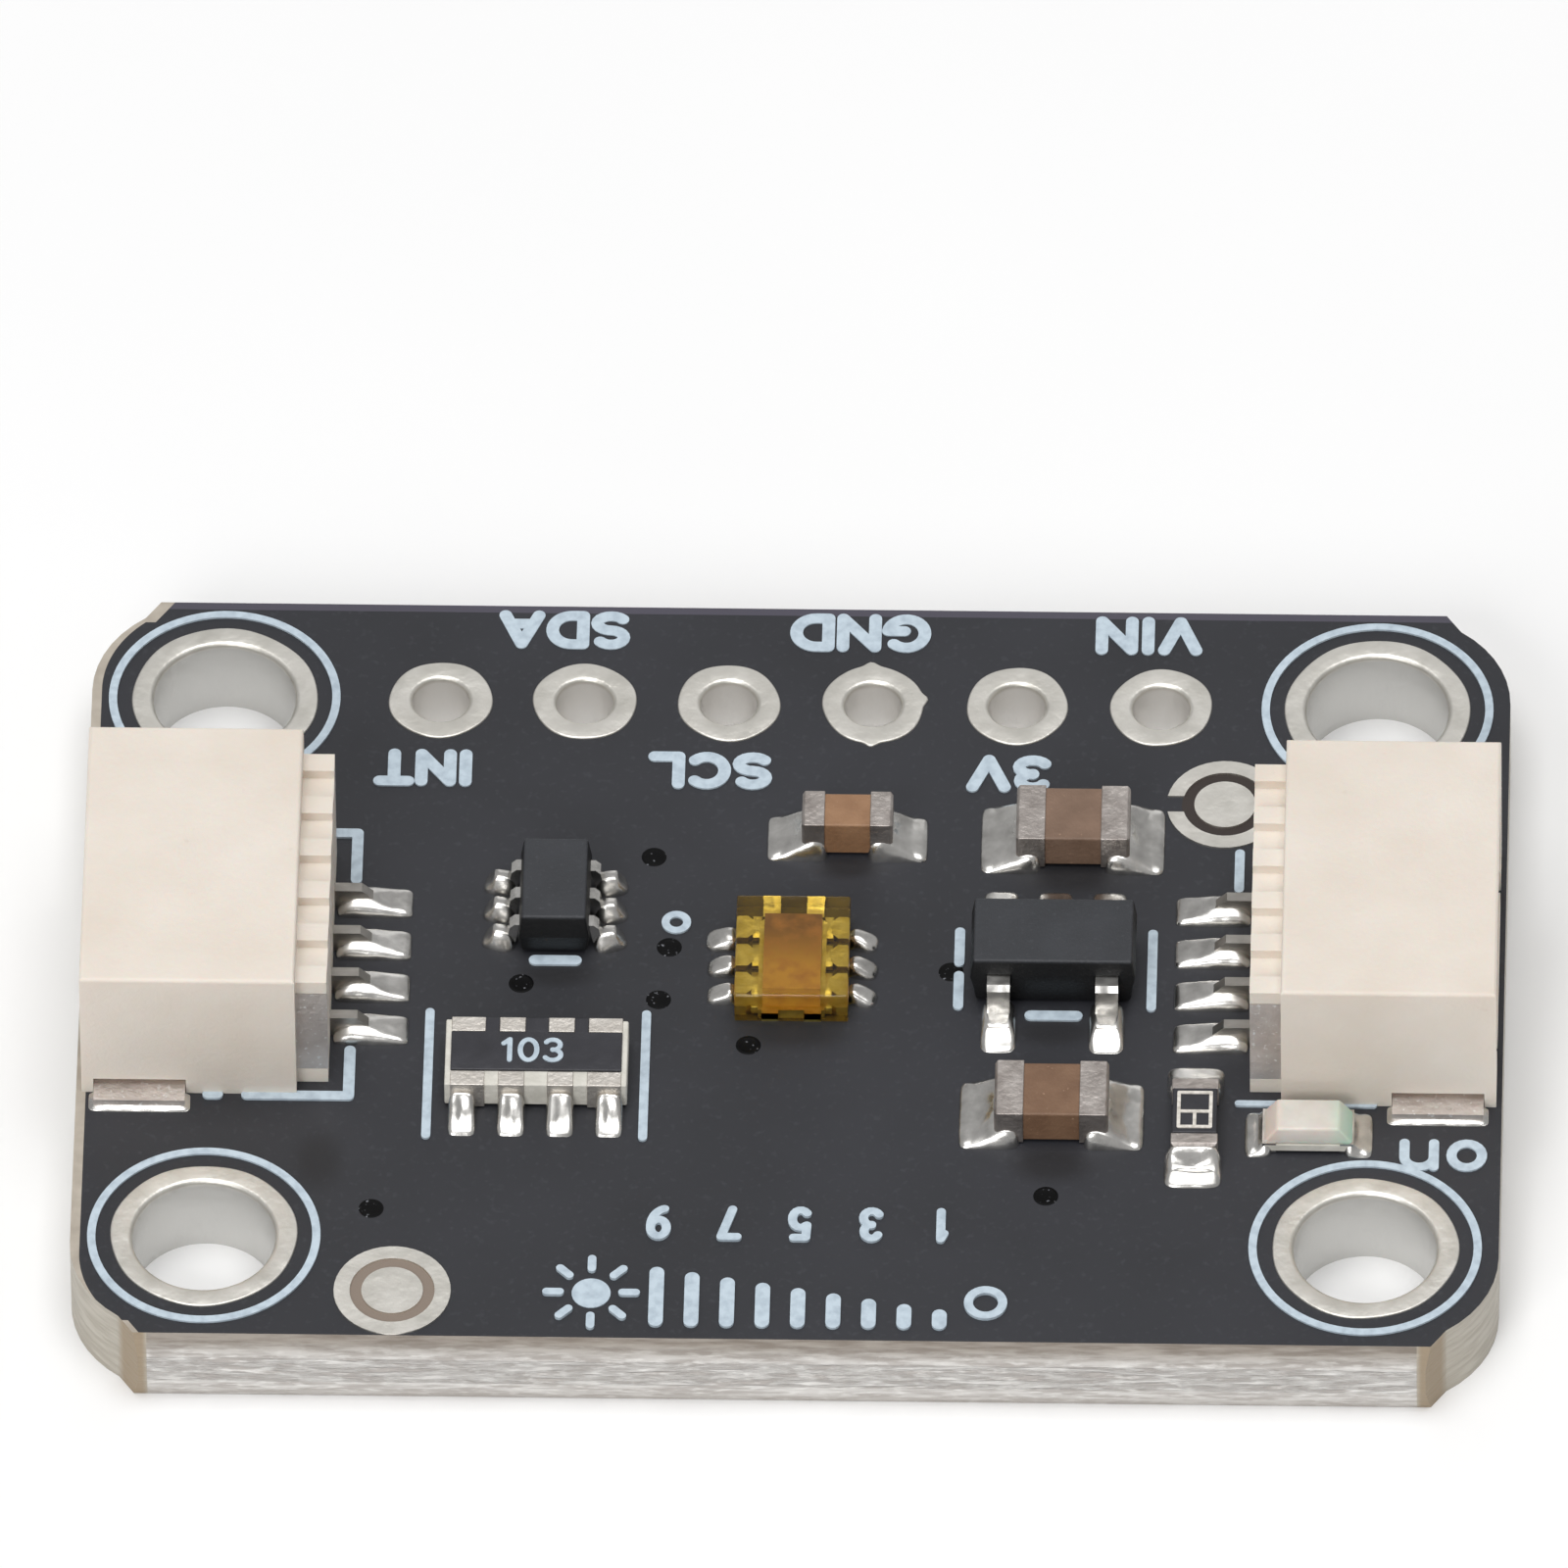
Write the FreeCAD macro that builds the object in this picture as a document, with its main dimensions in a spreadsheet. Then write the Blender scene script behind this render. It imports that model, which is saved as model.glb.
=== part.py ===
import FreeCAD, Part
import os
import re
import Sketcher

# Light sensor module: a small circuit board with a light sensor chip in the middle,
# a wire socket at each short side, a row of six plated holes along the far edge and
# four plated mounting holes.
# Frame: X to the right, Y away from the viewer, Z up, origin in the middle of the underside.

os.makedirs("parts", exist_ok=True)
doc = FreeCAD.newDocument("light_sensor_module")
sheet = doc.addObject("Spreadsheet::Sheet", "sizes")

SIZES = [
    # Board outline, cut by scoring along the long edges and routing round the corners
    ("board_wide", 25.0),
    ("board_deep", 17.5),
    ("board_thick", 1.6),
    ("corner_radius", 2.1),
    ("rout_angle", 55),
    ("rout_step_wide", 0.35),
    ("score_run", 0.13),
    ("score_depth", 0.5),
    # Copper and plating
    ("copper", 0.035),
    ("barrel_wall", 0.04),
    ("mount_inset_wide", 2.34),
    ("mount_pitch_deep", 12.7),
    ("mount_bore_radius", 1.25),
    ("mount_land_radius", 1.64),
    ("header_pitch", 2.54),
    ("header_clear", 0.3),
    ("header_bore_radius", 0.5),
    ("header_land_radius", 0.905),
    ("fiducial_dot_radius", 0.54),
    ("fiducial_ring_inner", 0.745),
    ("fiducial_ring_outer", 1.025),
    ("fiducial_ring_gap", 0.37),
    ("near_fiducial_beside_hole", 3.33),
    ("far_fiducial_clear", 0.02),
    ("far_fiducial_beside_socket", 0.035),
    # Wire socket housing, measured from its back wall towards its mouth
    ("mouth_inset", 0.1),
    ("shell_wide", 6.0),
    ("shell_high", 2.95),
    ("shell_long", 4.32),
    ("back_step_long", 0.55),
    ("back_step_wide", 5.4),
    ("back_step_high", 2.6),
    ("back_groove_depth", 0.2),
    ("back_post_wide", 0.4),
    ("cavity_wide", 4.84),
    ("cavity_floor", 0.5),
    ("cavity_roof", 0.5),
    ("cavity_long", 3.2),
    ("key_wide", 0.5),
    ("key_from_side", 0.3),
    ("key_long", 0.9),
    ("shell_rounding", 0.07),
    ("cut_past", 0.035),
    # Socket contacts and solder tabs
    ("contact_pitch", 1.0),
    ("contact_count", 4),
    ("contact_thick", 0.2),
    ("slot_gap", 0.01),
    ("tail_reach", 0.68),
    ("tail_high", 0.45),
    ("tail_toe_high", 0.25),
    ("tail_toe_long", 0.2),
    ("stem_start", 0.15),
    ("stem_long", 0.6),
    ("pin_under", 1.25),
    ("pin_high", 0.25),
    ("pin_end", 3.6),
    ("pin_taper", 0.07),
    ("pin_taper_long", 0.14),
    ("tab_thick", 0.2),
    ("tab_high", 2.3),
    ("tab_low", 0.35),
    ("tab_back_long", 0.75),
    ("tab_strip_low", 0.35),
    ("tab_strip_high", 1.1),
    ("tab_foot_start", 2.5),
    ("tab_foot_long", 1.6),
    ("tab_foot_reach", 0.36),
    ("tab_bend_radius", 0.12),
    # Light sensor chip
    ("sensor_wide", 2.0),
    ("sensor_long", 2.4),
    ("sensor_high", 0.65),
    ("sensor_shift", 0.05),
    ("frame_thick", 0.2),
    ("frame_lead_pitch", 0.65),
    ("frame_lead_count", 3),
    ("frame_lead_wide", 0.5),
    ("frame_lead_long", 0.34),
    ("frame_lead_round", 0.12),
    ("paddle_wide", 1.16),
    ("paddle_near", 1.04),
    ("paddle_far", 0.92),
    ("paddle_bevel", 0.16),
    ("tie_bar_wide", 0.3),
    ("tie_bar_apart", 0.75),
    ("die_wide", 1.0),
    ("die_long", 1.75),
    ("die_thick", 0.2),
    # Gull wing packages; a share splits the spare width between the sensor and a socket
    ("regulator_share", 0.71),
    ("regulator_up", 0.07),
    ("regulator_long", 2.9),
    ("regulator_wide", 1.6),
    ("regulator_high", 1.12),
    ("regulator_lead_wide", 0.4),
    ("regulator_lead_pitch", 0.95),
    ("regulator_lead_exit", 0.78),
    ("regulator_lead_out", 0.3),
    ("regulator_foot_reach", 0.68),
    ("shifter_share", 0.54),
    ("shifter_up", 1.33),
    ("shifter_long", 2.0),
    ("shifter_wide", 1.25),
    ("shifter_high", 0.95),
    ("shifter_lead_wide", 0.25),
    ("shifter_lead_pitch", 0.65),
    ("shifter_lead_exit", 0.55),
    ("shifter_lead_out", 0.16),
    ("shifter_foot_reach", 0.44),
    ("lead_thick", 0.15),
    ("lead_bed", 0.1),
    ("lead_bend", 0.09),
    ("lead_lean", 0.045),
    ("mould_draft", 8),
    ("body_gap", 0.06),
    # Chip parts
    ("stand_off", 0.03),
    ("cap_wall", 0.03),
    ("cap_bevel", 0.045),
    ("array_share", 0.726),
    ("array_down", 2.47),
    ("array_long", 3.2),
    ("array_wide", 1.6),
    ("array_high", 0.58),
    ("array_pitch", 0.86),
    ("array_end_cap_wide", 0.6),
    ("array_mid_cap_wide", 0.46),
    ("array_cap_deep", 0.33),
    ("coat_thick", 0.02),
    ("coat_margin", 0.1),
    ("far_capacitor_share", 0.376),
    ("far_capacitor_up", 3.17),
    ("near_capacitor_from_socket", 3.46),
    ("near_capacitor_down", 3.33),
    ("large_chip_long", 2.0),
    ("large_chip_wide", 1.28),
    ("large_chip_high", 0.74),
    ("large_cap_long", 0.51),
    ("small_capacitor_right", 0.9),
    ("small_capacitor_up", 3.15),
    ("small_chip_long", 1.6),
    ("small_chip_wide", 0.82),
    ("small_chip_high", 0.8),
    ("small_cap_long", 0.4),
    ("led_resistor_from_socket", 0.95),
    ("led_resistor_down", 3.58),
    ("led_resistor_high", 0.45),
    ("led_resistor_cap", 0.28),
    ("led_past_socket_back", 1.04),
    ("led_beside_socket", 0.72),
    ("led_base_high", 0.22),
    ("led_lens_long", 1.12),
    ("led_lens_high", 0.33),
    ("led_lens_draft", 7),
    ("led_pad_long", 0.24),
    ("led_pad_thick", 0.04),
    # Solder joints
    ("joint_skin", 0.05),
    ("large_joint_reach", 0.6),
    ("large_joint_wide", 1.5),
    ("large_joint_high", 0.42),
    ("small_joint_reach", 0.6),
    ("small_joint_wide", 1.0),
    ("small_joint_high", 0.42),
    ("led_joint_reach", 0.3),
    ("led_joint_high", 0.2),
    ("array_joint_reach", 0.55),
    ("array_joint_wide", 0.5),
    ("array_joint_high", 0.32),
    ("tail_joint_long", 1.36),
    ("tail_joint_wide", 0.64),
    ("tail_joint_high", 0.3),
    ("tail_joint_draft", 38),
    ("tab_joint_long", 1.78),
    ("tab_joint_wide", 0.44),
    ("tab_joint_high", 0.1),
    ("tab_joint_draft", 20),
    ("gull_joint_margin", 0.1),
    ("gull_joint_toe", 0.2),
    ("gull_joint_heel", 0.3),
    ("gull_joint_high", 0.2),
    ("gull_joint_draft", 30),
    ("sensor_joint_reach", 0.46),
    ("sensor_joint_wide", 0.46),
    ("sensor_joint_high", 0.19),
]
for row, (alias, number) in enumerate(SIZES, start=1):
    sheet.set("A%d" % row, alias)
    sheet.set("B%d" % row, str(number))
    sheet.setAlias("B%d" % row, alias)
doc.recompute()

MATHS = ("sin", "cos", "floor", "deg")


def bound(text):
    """Formula over the names in the sheet, written the way an object reads it."""
    return re.sub(r"[A-Za-z_]\w*", lambda m: m.group() if m.group() in MATHS else "sizes." + m.group(), text)


def value(text):
    """Number that a formula gives with the sheet as it stands."""
    result = sheet.evalExpression(bound(text))
    return float(getattr(result, "Value", result))


def plane(body, role):
    """Origin plane of a body, by its role."""
    return [item for item in body.Origin.OriginFeatures if item.Role == role][0]


def body(label, x="0", y="0", z="0", turn=0):
    """Body at a place given by formulas, turned about Z by whole degrees."""
    made = doc.addObject("PartDesign::Body", label)
    made.Label = label
    made.AllowCompound = True
    made.Placement = FreeCAD.Placement(FreeCAD.Vector(), FreeCAD.Rotation(FreeCAD.Vector(0, 0, 1), turn))
    made.setExpression("Placement.Base.x", bound(x))
    made.setExpression("Placement.Base.y", bound(y))
    made.setExpression("Placement.Base.z", bound(z))
    return made


def sketch(owner, name, role, level="0"):
    """Empty sketch on an origin plane of its body, raised by a formula along the plane's normal."""
    made = owner.newObject("Sketcher::SketchObject", name)
    made.AttachmentSupport = [(plane(owner, role), "")]
    made.MapMode = "FlatFace"
    made.setExpression("AttachmentOffset.Base.z", bound(level))
    return made


def pin(drawn, geometry, point, x, y):
    """Two dimensions that hold one point of a sketch at formulas for its X and Y."""
    for kind, text in (("DistanceX", x), ("DistanceY", y)):
        index = drawn.addConstraint(Sketcher.Constraint(kind, -1, 1, geometry, point, value(text)))
        drawn.setExpression("Constraints[%d]" % index, bound(text))


def loop(drawn, points):
    """Closed outline of straight lines through points given as pairs of formulas."""
    first = drawn.GeometryCount
    places = [FreeCAD.Vector(value(x), value(y), 0) for x, y in points]
    total = len(places)
    for index in range(total):
        drawn.addGeometry(Part.LineSegment(places[index], places[(index + 1) % total]), False)
    for index in range(total):
        after = first + (index + 1) % total
        drawn.addConstraint(Sketcher.Constraint("Coincident", first + index, 2, after, 1))
        pin(drawn, first + index, 1, *points[index])
    return drawn


def block(drawn, left, right, low, high):
    """Rectangle between four formulas."""
    return loop(drawn, [(left, low), (right, low), (right, high), (left, high)])


def ring(drawn, x, y, radius):
    """Circle with its centre and radius held by formulas."""
    centre = FreeCAD.Vector(value(x), value(y), 0)
    index = drawn.addGeometry(Part.Circle(centre, FreeCAD.Vector(0, 0, 1), value(radius)), False)
    pin(drawn, index, 3, x, y)
    held = drawn.addConstraint(Sketcher.Constraint("Radius", index, value(radius)))
    drawn.setExpression("Constraints[%d]" % held, bound(radius))
    return drawn


def extrude(owner, kind, name, drawn, length=None, middle=False, back=False, taper=None):
    """Pad or pocket of a sketch; without a length it goes right through."""
    made = owner.newObject("PartDesign::" + kind, name)
    made.Profile = drawn
    if length is None:
        made.Type = "ThroughAll"
    else:
        made.setExpression("Length", bound(length))
    made.Midplane = middle
    made.Reversed = back
    if taper is not None:
        made.setExpression("TaperAngle", bound(taper))
    drawn.Visibility = False
    return made


def repeat(owner, name, features, drawn, axis, pitch, count):
    """Row of features at a pitch along an axis of their sketch."""
    made = owner.newObject("PartDesign::LinearPattern", name)
    made.Originals = features
    made.Direction = (drawn, [axis])
    made.setExpression("Length", bound("(%s) * (%s - 1)" % (pitch, count)))
    made.setExpression("Occurrences", bound(count))
    owner.Tip = made
    return made


def mirror(owner, name, features, role):
    """Copy of features across an origin plane of the body."""
    made = owner.newObject("PartDesign::Mirrored", name)
    made.Originals = features
    made.MirrorPlane = (plane(owner, role), [""])
    owner.Tip = made
    return made


def same(first, second):
    """Whether two coordinates coincide."""
    return abs(first - second) < 1e-6


def edges(shape, wanted):
    """Names of the edges of a shape whose midpoint and direction pass a test."""
    names = []
    for number, edge in enumerate(shape.Edges, start=1):
        middle = edge.valueAt((edge.FirstParameter + edge.LastParameter) / 2)
        along = edge.Vertexes[-1].Point - edge.Vertexes[0].Point
        if wanted(middle, along):
            names.append("Edge%d" % number)
    return names


def soften(owner, kind, name, size, wanted):
    """Fillet or chamfer on the edges of a body that pass a test."""
    doc.recompute()
    base = owner.Tip
    names = edges(base.Shape, wanted)
    made = owner.newObject("PartDesign::" + kind, name)
    made.Base = (base, names)
    made.setExpression("Radius" if kind == "Fillet" else "Size", bound(size))
    return made


def less(label, base, tools):
    """Piece that leaves room for the other pieces set into it."""
    made = base
    for number, tool in enumerate(tools, start=1):
        cut = doc.addObject("Part::Cut", "%s_less_%d" % (label, number))
        cut.Base = made
        cut.Tool = tool
        made = cut
    made.Label = label
    return made


pieces = []


def keep(made):
    """Note a finished piece for the checks and the export."""
    pieces.append(made)
    return made


# Circuit board
# Glass laminate routed round its corners and broken out of a panel along scored long edges,
# drilled for four screws and a row of pins.
board = body("circuit_board")
outline = sketch(board, "outline", "XY_Plane")
arc_x = "(board_wide / 2 - corner_radius)"
arc_y = "(board_deep / 2 - score_run - corner_radius)"
rout_x = "(board_wide / 2 - corner_radius + corner_radius * cos(rout_angle * 1deg))"
rout_y = "(board_deep / 2 - score_run - corner_radius + corner_radius * sin(rout_angle * 1deg))"
kink_x = "(board_wide / 2 - corner_radius + corner_radius * cos(rout_angle * 1deg) - rout_step_wide)"
side_x = "board_wide / 2"
edge_y = "board_deep / 2"
corners = []
for sign_x, sign_y in (("", ""), ("-", ""), ("-", "-"), ("", "-")):
    centre = FreeCAD.Vector(value(sign_x + arc_x), value(sign_y + arc_y), 0)
    side = FreeCAD.Vector(value(sign_x + side_x), centre.y, 0)
    rout = FreeCAD.Vector(value(sign_x + rout_x), value(sign_y + rout_y), 0)
    kink = FreeCAD.Vector(value(sign_x + kink_x), value(sign_y + edge_y), 0)
    forward = sign_x == sign_y
    start, end = (side, rout) if forward else (rout, side)
    halfway = centre + (side + rout - centre * 2).normalize() * value("corner_radius")
    arc = outline.addGeometry(Part.Arc(start, halfway, end), False)
    step = outline.addGeometry(Part.LineSegment(rout, kink), False)
    corners.append((arc, step, forward))
    side_point, rout_point = (1, 2) if forward else (2, 1)
    outline.addConstraint(Sketcher.Constraint("Coincident", arc, rout_point, step, 1))
    pin(outline, arc, 3, sign_x + arc_x, sign_y + arc_y)
    pin(outline, arc, side_point, sign_x + side_x, sign_y + arc_y)
    held = outline.addConstraint(Sketcher.Constraint("DistanceX", -1, 1, arc, rout_point, rout.x))
    outline.setExpression("Constraints[%d]" % held, bound(sign_x + rout_x))
    pin(outline, step, 2, sign_x + kink_x, sign_y + edge_y)
for near, far, at_edge in ((0, 1, True), (1, 2, False), (2, 3, True), (3, 0, False)):
    if at_edge:
        ends = ((corners[near][1], 2), (corners[far][1], 2))
    else:
        ends = tuple((corners[item][0], 1 if corners[item][2] else 2) for item in (near, far))
    points = [outline.getPoint(*item) for item in ends]
    line = outline.addGeometry(Part.LineSegment(*points), False)
    outline.addConstraint(Sketcher.Constraint("Coincident", ends[0][0], ends[0][1], line, 1))
    outline.addConstraint(Sketcher.Constraint("Coincident", ends[1][0], ends[1][1], line, 2))
doc.recompute()
extrude(board, "Pad", "laminate", outline, "board_thick")

score = sketch(board, "score_grooves", "YZ_Plane")
for sign_y in ("", "-"):
    top = [
        (sign_y + "(board_deep / 2 - score_run)", "board_thick"),
        (sign_y + "(board_deep / 2)", "board_thick - score_depth"),
        (sign_y + "(board_deep / 2 + score_run)", "board_thick"),
    ]
    bottom = [
        (sign_y + "(board_deep / 2 - score_run)", "0"),
        (sign_y + "(board_deep / 2)", "score_depth"),
        (sign_y + "(board_deep / 2 + score_run)", "0"),
    ]
    loop(score, top)
    loop(score, bottom)
extrude(board, "Pocket", "scored_edges", score, "board_wide", middle=True)

mount_x = "(board_wide / 2 - mount_inset_wide)"
mount_y = "mount_pitch_deep / 2"
drill = sketch(board, "mount_drill", "XY_Plane", "board_thick")
ring(drill, "-" + mount_x, "-" + mount_y, "mount_bore_radius + barrel_wall")
hole = extrude(board, "Pocket", "mount_hole", drill)
grid = repeat(board, "mount_pattern", [hole], drill, "H_Axis", "2 * " + mount_x, "2")
grid.Direction2 = (drill, ["V_Axis"])
grid.setExpression("Length2", bound("mount_pitch_deep"))
grid.Occurrences2 = 2

header_room = "(2 * (%s - mount_land_radius - header_clear - header_land_radius))" % mount_x
header_count = "(floor(%s / header_pitch) + 1)" % header_room
header_x = "-header_pitch * (%s - 1) / 2" % header_count
drill = sketch(board, "header_drill", "XY_Plane", "board_thick")
ring(drill, header_x, mount_y, "header_bore_radius + barrel_wall")
hole = extrude(board, "Pocket", "header_hole", drill)
repeat(board, "header_pattern", [hole], drill, "H_Axis", "header_pitch", header_count)
keep(board)


# Plated holes
# Copper barrel with a land on the top face, turned as one ring, with a tin finish.
def plated_hole(label, x, y, bore, land):
    """Plated barrel with its land, turned about the axis of its hole."""
    made = body(label, x, y)
    drawn = sketch(made, label + "_section", "XZ_Plane")
    wall = bore + " + barrel_wall"
    loop(drawn, [
        (bore, "0"),
        (wall, "0"),
        (wall, "board_thick"),
        (land, "board_thick"),
        (land, "board_thick + copper"),
        (bore, "board_thick + copper"),
    ])
    turned = made.newObject("PartDesign::Revolution", label + "_turned")
    turned.Profile = drawn
    turned.ReferenceAxis = (drawn, ["V_Axis"])
    turned.Angle = 360
    drawn.Visibility = False
    return keep(made)


CORNERS = [("near_left", "-", "-"), ("near_right", "", "-"), ("far_left", "-", ""), ("far_right", "", "")]
for name, sign_x, sign_y in CORNERS:
    label = name + "_mounting_hole_plating"
    plated_hole(label, sign_x + mount_x, sign_y + mount_y, "mount_bore_radius", "mount_land_radius")
for number in range(int(value(header_count))):
    label = "header_hole_plating_%d" % (number + 1)
    x = "%s + header_pitch * %d" % (header_x, number)
    plated_hole(label, x, mount_y, "header_bore_radius", "header_land_radius")


# Wire sockets
# Nylon shell moulded in one piece, open at the mouth, with a lower ribbed block at its back.
# Its contacts and solder tabs are stamped plates pressed into slots from behind.
def socket_shell(label, place):
    """Housing with its mouth along +X, made of two pads and seven kinds of pocket."""
    made = body(label, *place)
    drawn = sketch(made, label + "_front", "YZ_Plane", "back_step_long")
    block(drawn, "-shell_wide / 2", "shell_wide / 2", "0", "shell_high")
    shell = extrude(made, "Pad", label + "_shell", drawn, "shell_long - back_step_long")
    drawn = sketch(made, label + "_back", "YZ_Plane")
    loop(drawn, [
        ("-back_step_wide / 2", "0"),
        ("back_step_wide / 2", "0"),
        ("back_step_wide / 2", "back_step_high"),
        ("back_step_wide / 2 - back_post_wide", "back_step_high"),
        ("back_step_wide / 2 - back_post_wide", "back_step_high - back_groove_depth"),
        ("back_post_wide - back_step_wide / 2", "back_step_high - back_groove_depth"),
        ("back_post_wide - back_step_wide / 2", "back_step_high"),
        ("-back_step_wide / 2", "back_step_high"),
    ])
    extrude(made, "Pad", label + "_back_block", drawn, "back_step_long")
    first = "-contact_pitch * (contact_count - 1) / 2"
    drawn = sketch(made, label + "_rib_outline", "YZ_Plane")
    block(
        drawn,
        first + " - back_post_wide / 2",
        first + " + back_post_wide / 2",
        "back_step_high - back_groove_depth",
        "back_step_high",
    )
    rib = extrude(made, "Pad", label + "_rib", drawn, "back_step_long")
    repeat(made, label + "_ribs", [rib], drawn, "H_Axis", "contact_pitch", "contact_count")
    tall = value("shell_high")
    soften(
        made, "Fillet", label + "_rounding", "shell_rounding",
        lambda middle, along: same(middle.z, tall),
    )
    drawn = sketch(made, label + "_mouth_outline", "YZ_Plane", "shell_long")
    block(drawn, "-cavity_wide / 2", "cavity_wide / 2", "cavity_floor", "shell_high - cavity_roof")
    extrude(made, "Pocket", label + "_mouth", drawn, "cavity_long")
    drawn = sketch(made, label + "_key_outline", "YZ_Plane", "shell_long")
    for sign in ("", "-"):
        block(
            drawn,
            sign + "(cavity_wide / 2 - key_from_side - key_wide)",
            sign + "(cavity_wide / 2 - key_from_side)",
            "0",
            "cavity_floor + cut_past",
        )
    extrude(made, "Pocket", label + "_keys", drawn, "key_long")
    drawn = sketch(made, label + "_slot_outline", "YZ_Plane")
    block(
        drawn,
        first + " - contact_thick / 2 - slot_gap",
        first + " + contact_thick / 2 + slot_gap",
        "0",
        "pin_under + pin_high + slot_gap",
    )
    through = "shell_long - cavity_long + cut_past"
    slot = extrude(made, "Pocket", label + "_slot", drawn, through, back=True)
    repeat(made, label + "_slots", [slot], drawn, "H_Axis", "contact_pitch", "contact_count")
    drawn = sketch(made, label + "_tab_back_outline", "XZ_Plane", "back_step_wide / 2")
    block(drawn, "-cut_past", "tab_back_long + slot_gap", "tab_low - slot_gap", "tab_high + slot_gap")
    back = extrude(made, "Pocket", label + "_tab_back", drawn, "tab_thick + slot_gap")
    drawn = sketch(made, label + "_tab_strip_outline", "XZ_Plane", "back_step_wide / 2")
    strip_end = "tab_foot_start + tab_foot_long + slot_gap"
    block(drawn, "tab_back_long", strip_end, "tab_strip_low - slot_gap", "tab_strip_high + slot_gap")
    strip = extrude(made, "Pocket", label + "_tab_strip", drawn, "tab_thick + slot_gap")
    drawn = sketch(made, label + "_foot_outline", "XZ_Plane", "shell_wide / 2")
    block(drawn, "tab_foot_start - slot_gap", strip_end, "0", "tab_strip_low")
    foot_deep = "(shell_wide - back_step_wide) / 2 + tab_thick + slot_gap"
    foot = extrude(made, "Pocket", label + "_foot", drawn, foot_deep)
    mirror(made, label + "_far_side", [back, strip, foot], "XZ_Plane")
    return keep(made)


def socket_contact(label, place, number):
    """Stamped contact: tail on the board, stem in the back wall and pin in the mouth."""
    made = body(label, *place)
    middle = "contact_pitch * (%d - (contact_count - 1) / 2)" % number
    drawn = sketch(made, label + "_outline", "XZ_Plane", "-(%s)" % middle)
    loop(drawn, [
        ("-tail_reach", "0"),
        ("stem_start + stem_long", "0"),
        ("stem_start + stem_long", "pin_under"),
        ("pin_end - pin_taper_long", "pin_under"),
        ("pin_end", "pin_under + pin_taper"),
        ("pin_end", "pin_under + pin_high - pin_taper"),
        ("pin_end - pin_taper_long", "pin_under + pin_high"),
        ("stem_start", "pin_under + pin_high"),
        ("stem_start", "tail_high"),
        ("tail_toe_long - tail_reach", "tail_high"),
        ("-tail_reach", "tail_toe_high"),
    ])
    extrude(made, "Pad", label + "_plate", drawn, "contact_thick", middle=True)
    return keep(made)


def socket_tab(label, place, sign):
    """Stamped solder tab: tall plate behind, strip along the side wall and a bent foot."""
    made = body(label, *place)
    near = "(back_step_wide / 2 - tab_thick)" if sign == "" else "(back_step_wide / 2)"
    level = near if sign == "" else "-" + near
    drawn = sketch(made, label + "_outline", "XZ_Plane", level)
    foot_end = "tab_foot_start + tab_foot_long"
    loop(drawn, [
        ("0", "tab_low"),
        ("tab_foot_start", "tab_strip_low"),
        ("tab_foot_start", "0"),
        (foot_end, "0"),
        (foot_end, "tab_strip_high"),
        ("tab_back_long", "tab_strip_high"),
        ("tab_back_long", "tab_high"),
        ("0", "tab_high"),
    ])
    extrude(made, "Pad", label + "_plate", drawn, "tab_thick")
    drawn = sketch(made, label + "_foot_outline", "XY_Plane")
    start = "back_step_wide / 2 - tab_thick"
    reach = "shell_wide / 2 + tab_foot_reach"
    if sign == "":
        block(drawn, "tab_foot_start", foot_end, "-(%s)" % reach, "-(%s)" % start)
    else:
        block(drawn, "tab_foot_start", foot_end, start, reach)
    extrude(made, "Pad", label + "_foot", drawn, "tab_thick")
    face_y = (1 if sign else -1) * value("back_step_wide / 2")
    rise = value("tab_thick")
    soften(
        made, "Fillet", label + "_bend", "tab_bend_radius",
        lambda middle, along: same(middle.y, face_y) and same(middle.z, rise),
    )
    return keep(made)


socket_back = "(board_wide / 2 - mouth_inset - shell_long)"
SOCKETS = [("right_socket", socket_back, 0), ("left_socket", "-" + socket_back, 180)]
metal = {}
for side, x, turn in SOCKETS:
    place = (x, "0", "board_thick", turn)
    socket_shell(side + "_housing", place)
    metal[side] = []
    for number in range(int(value("contact_count"))):
        metal[side].append(socket_contact("%s_contact_%d" % (side, number + 1), place, number))
    near_sign, far_sign = ("", "-") if turn == 0 else ("-", "")
    metal[side].append(socket_tab(side + "_near_solder_tab", place, near_sign))
    metal[side].append(socket_tab(side + "_far_solder_tab", place, far_sign))


# Light sensor chip
# Clear epoxy moulded round a stamped lead frame, with the silicon die glued on the paddle.
sensor_place = ("0", "sensor_shift", "board_thick")
frame = body("sensor_lead_frame", *sensor_place)
drawn = sketch(frame, "paddle_outline", "XY_Plane")
loop(drawn, [
    ("-paddle_wide / 2", "-paddle_near"),
    ("paddle_wide / 2", "-paddle_near"),
    ("paddle_wide / 2", "paddle_far - paddle_bevel"),
    ("paddle_wide / 2 - paddle_bevel", "paddle_far"),
    ("paddle_bevel - paddle_wide / 2", "paddle_far"),
    ("-paddle_wide / 2", "paddle_far - paddle_bevel"),
])
extrude(frame, "Pad", "paddle", drawn, "frame_thick")
drawn = sketch(frame, "tie_bar_outline", "XY_Plane")
for sign in ("", "-"):
    centre = sign + "tie_bar_apart / 2"
    left, right = centre + " - tie_bar_wide / 2", centre + " + tie_bar_wide / 2"
    block(drawn, left, right, "paddle_far - cut_past", "sensor_long / 2")
    block(drawn, left, right, "-sensor_long / 2", "cut_past - paddle_near")
extrude(frame, "Pad", "tie_bars", drawn, "frame_thick")
lead_in = "(sensor_wide / 2 - frame_lead_long)"
lead_bevel = "(sensor_wide / 2 - frame_lead_long + frame_lead_round)"
lead_start = "-frame_lead_pitch * (frame_lead_count - 1) / 2"
lead_low = lead_start + " - frame_lead_wide / 2"
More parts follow.
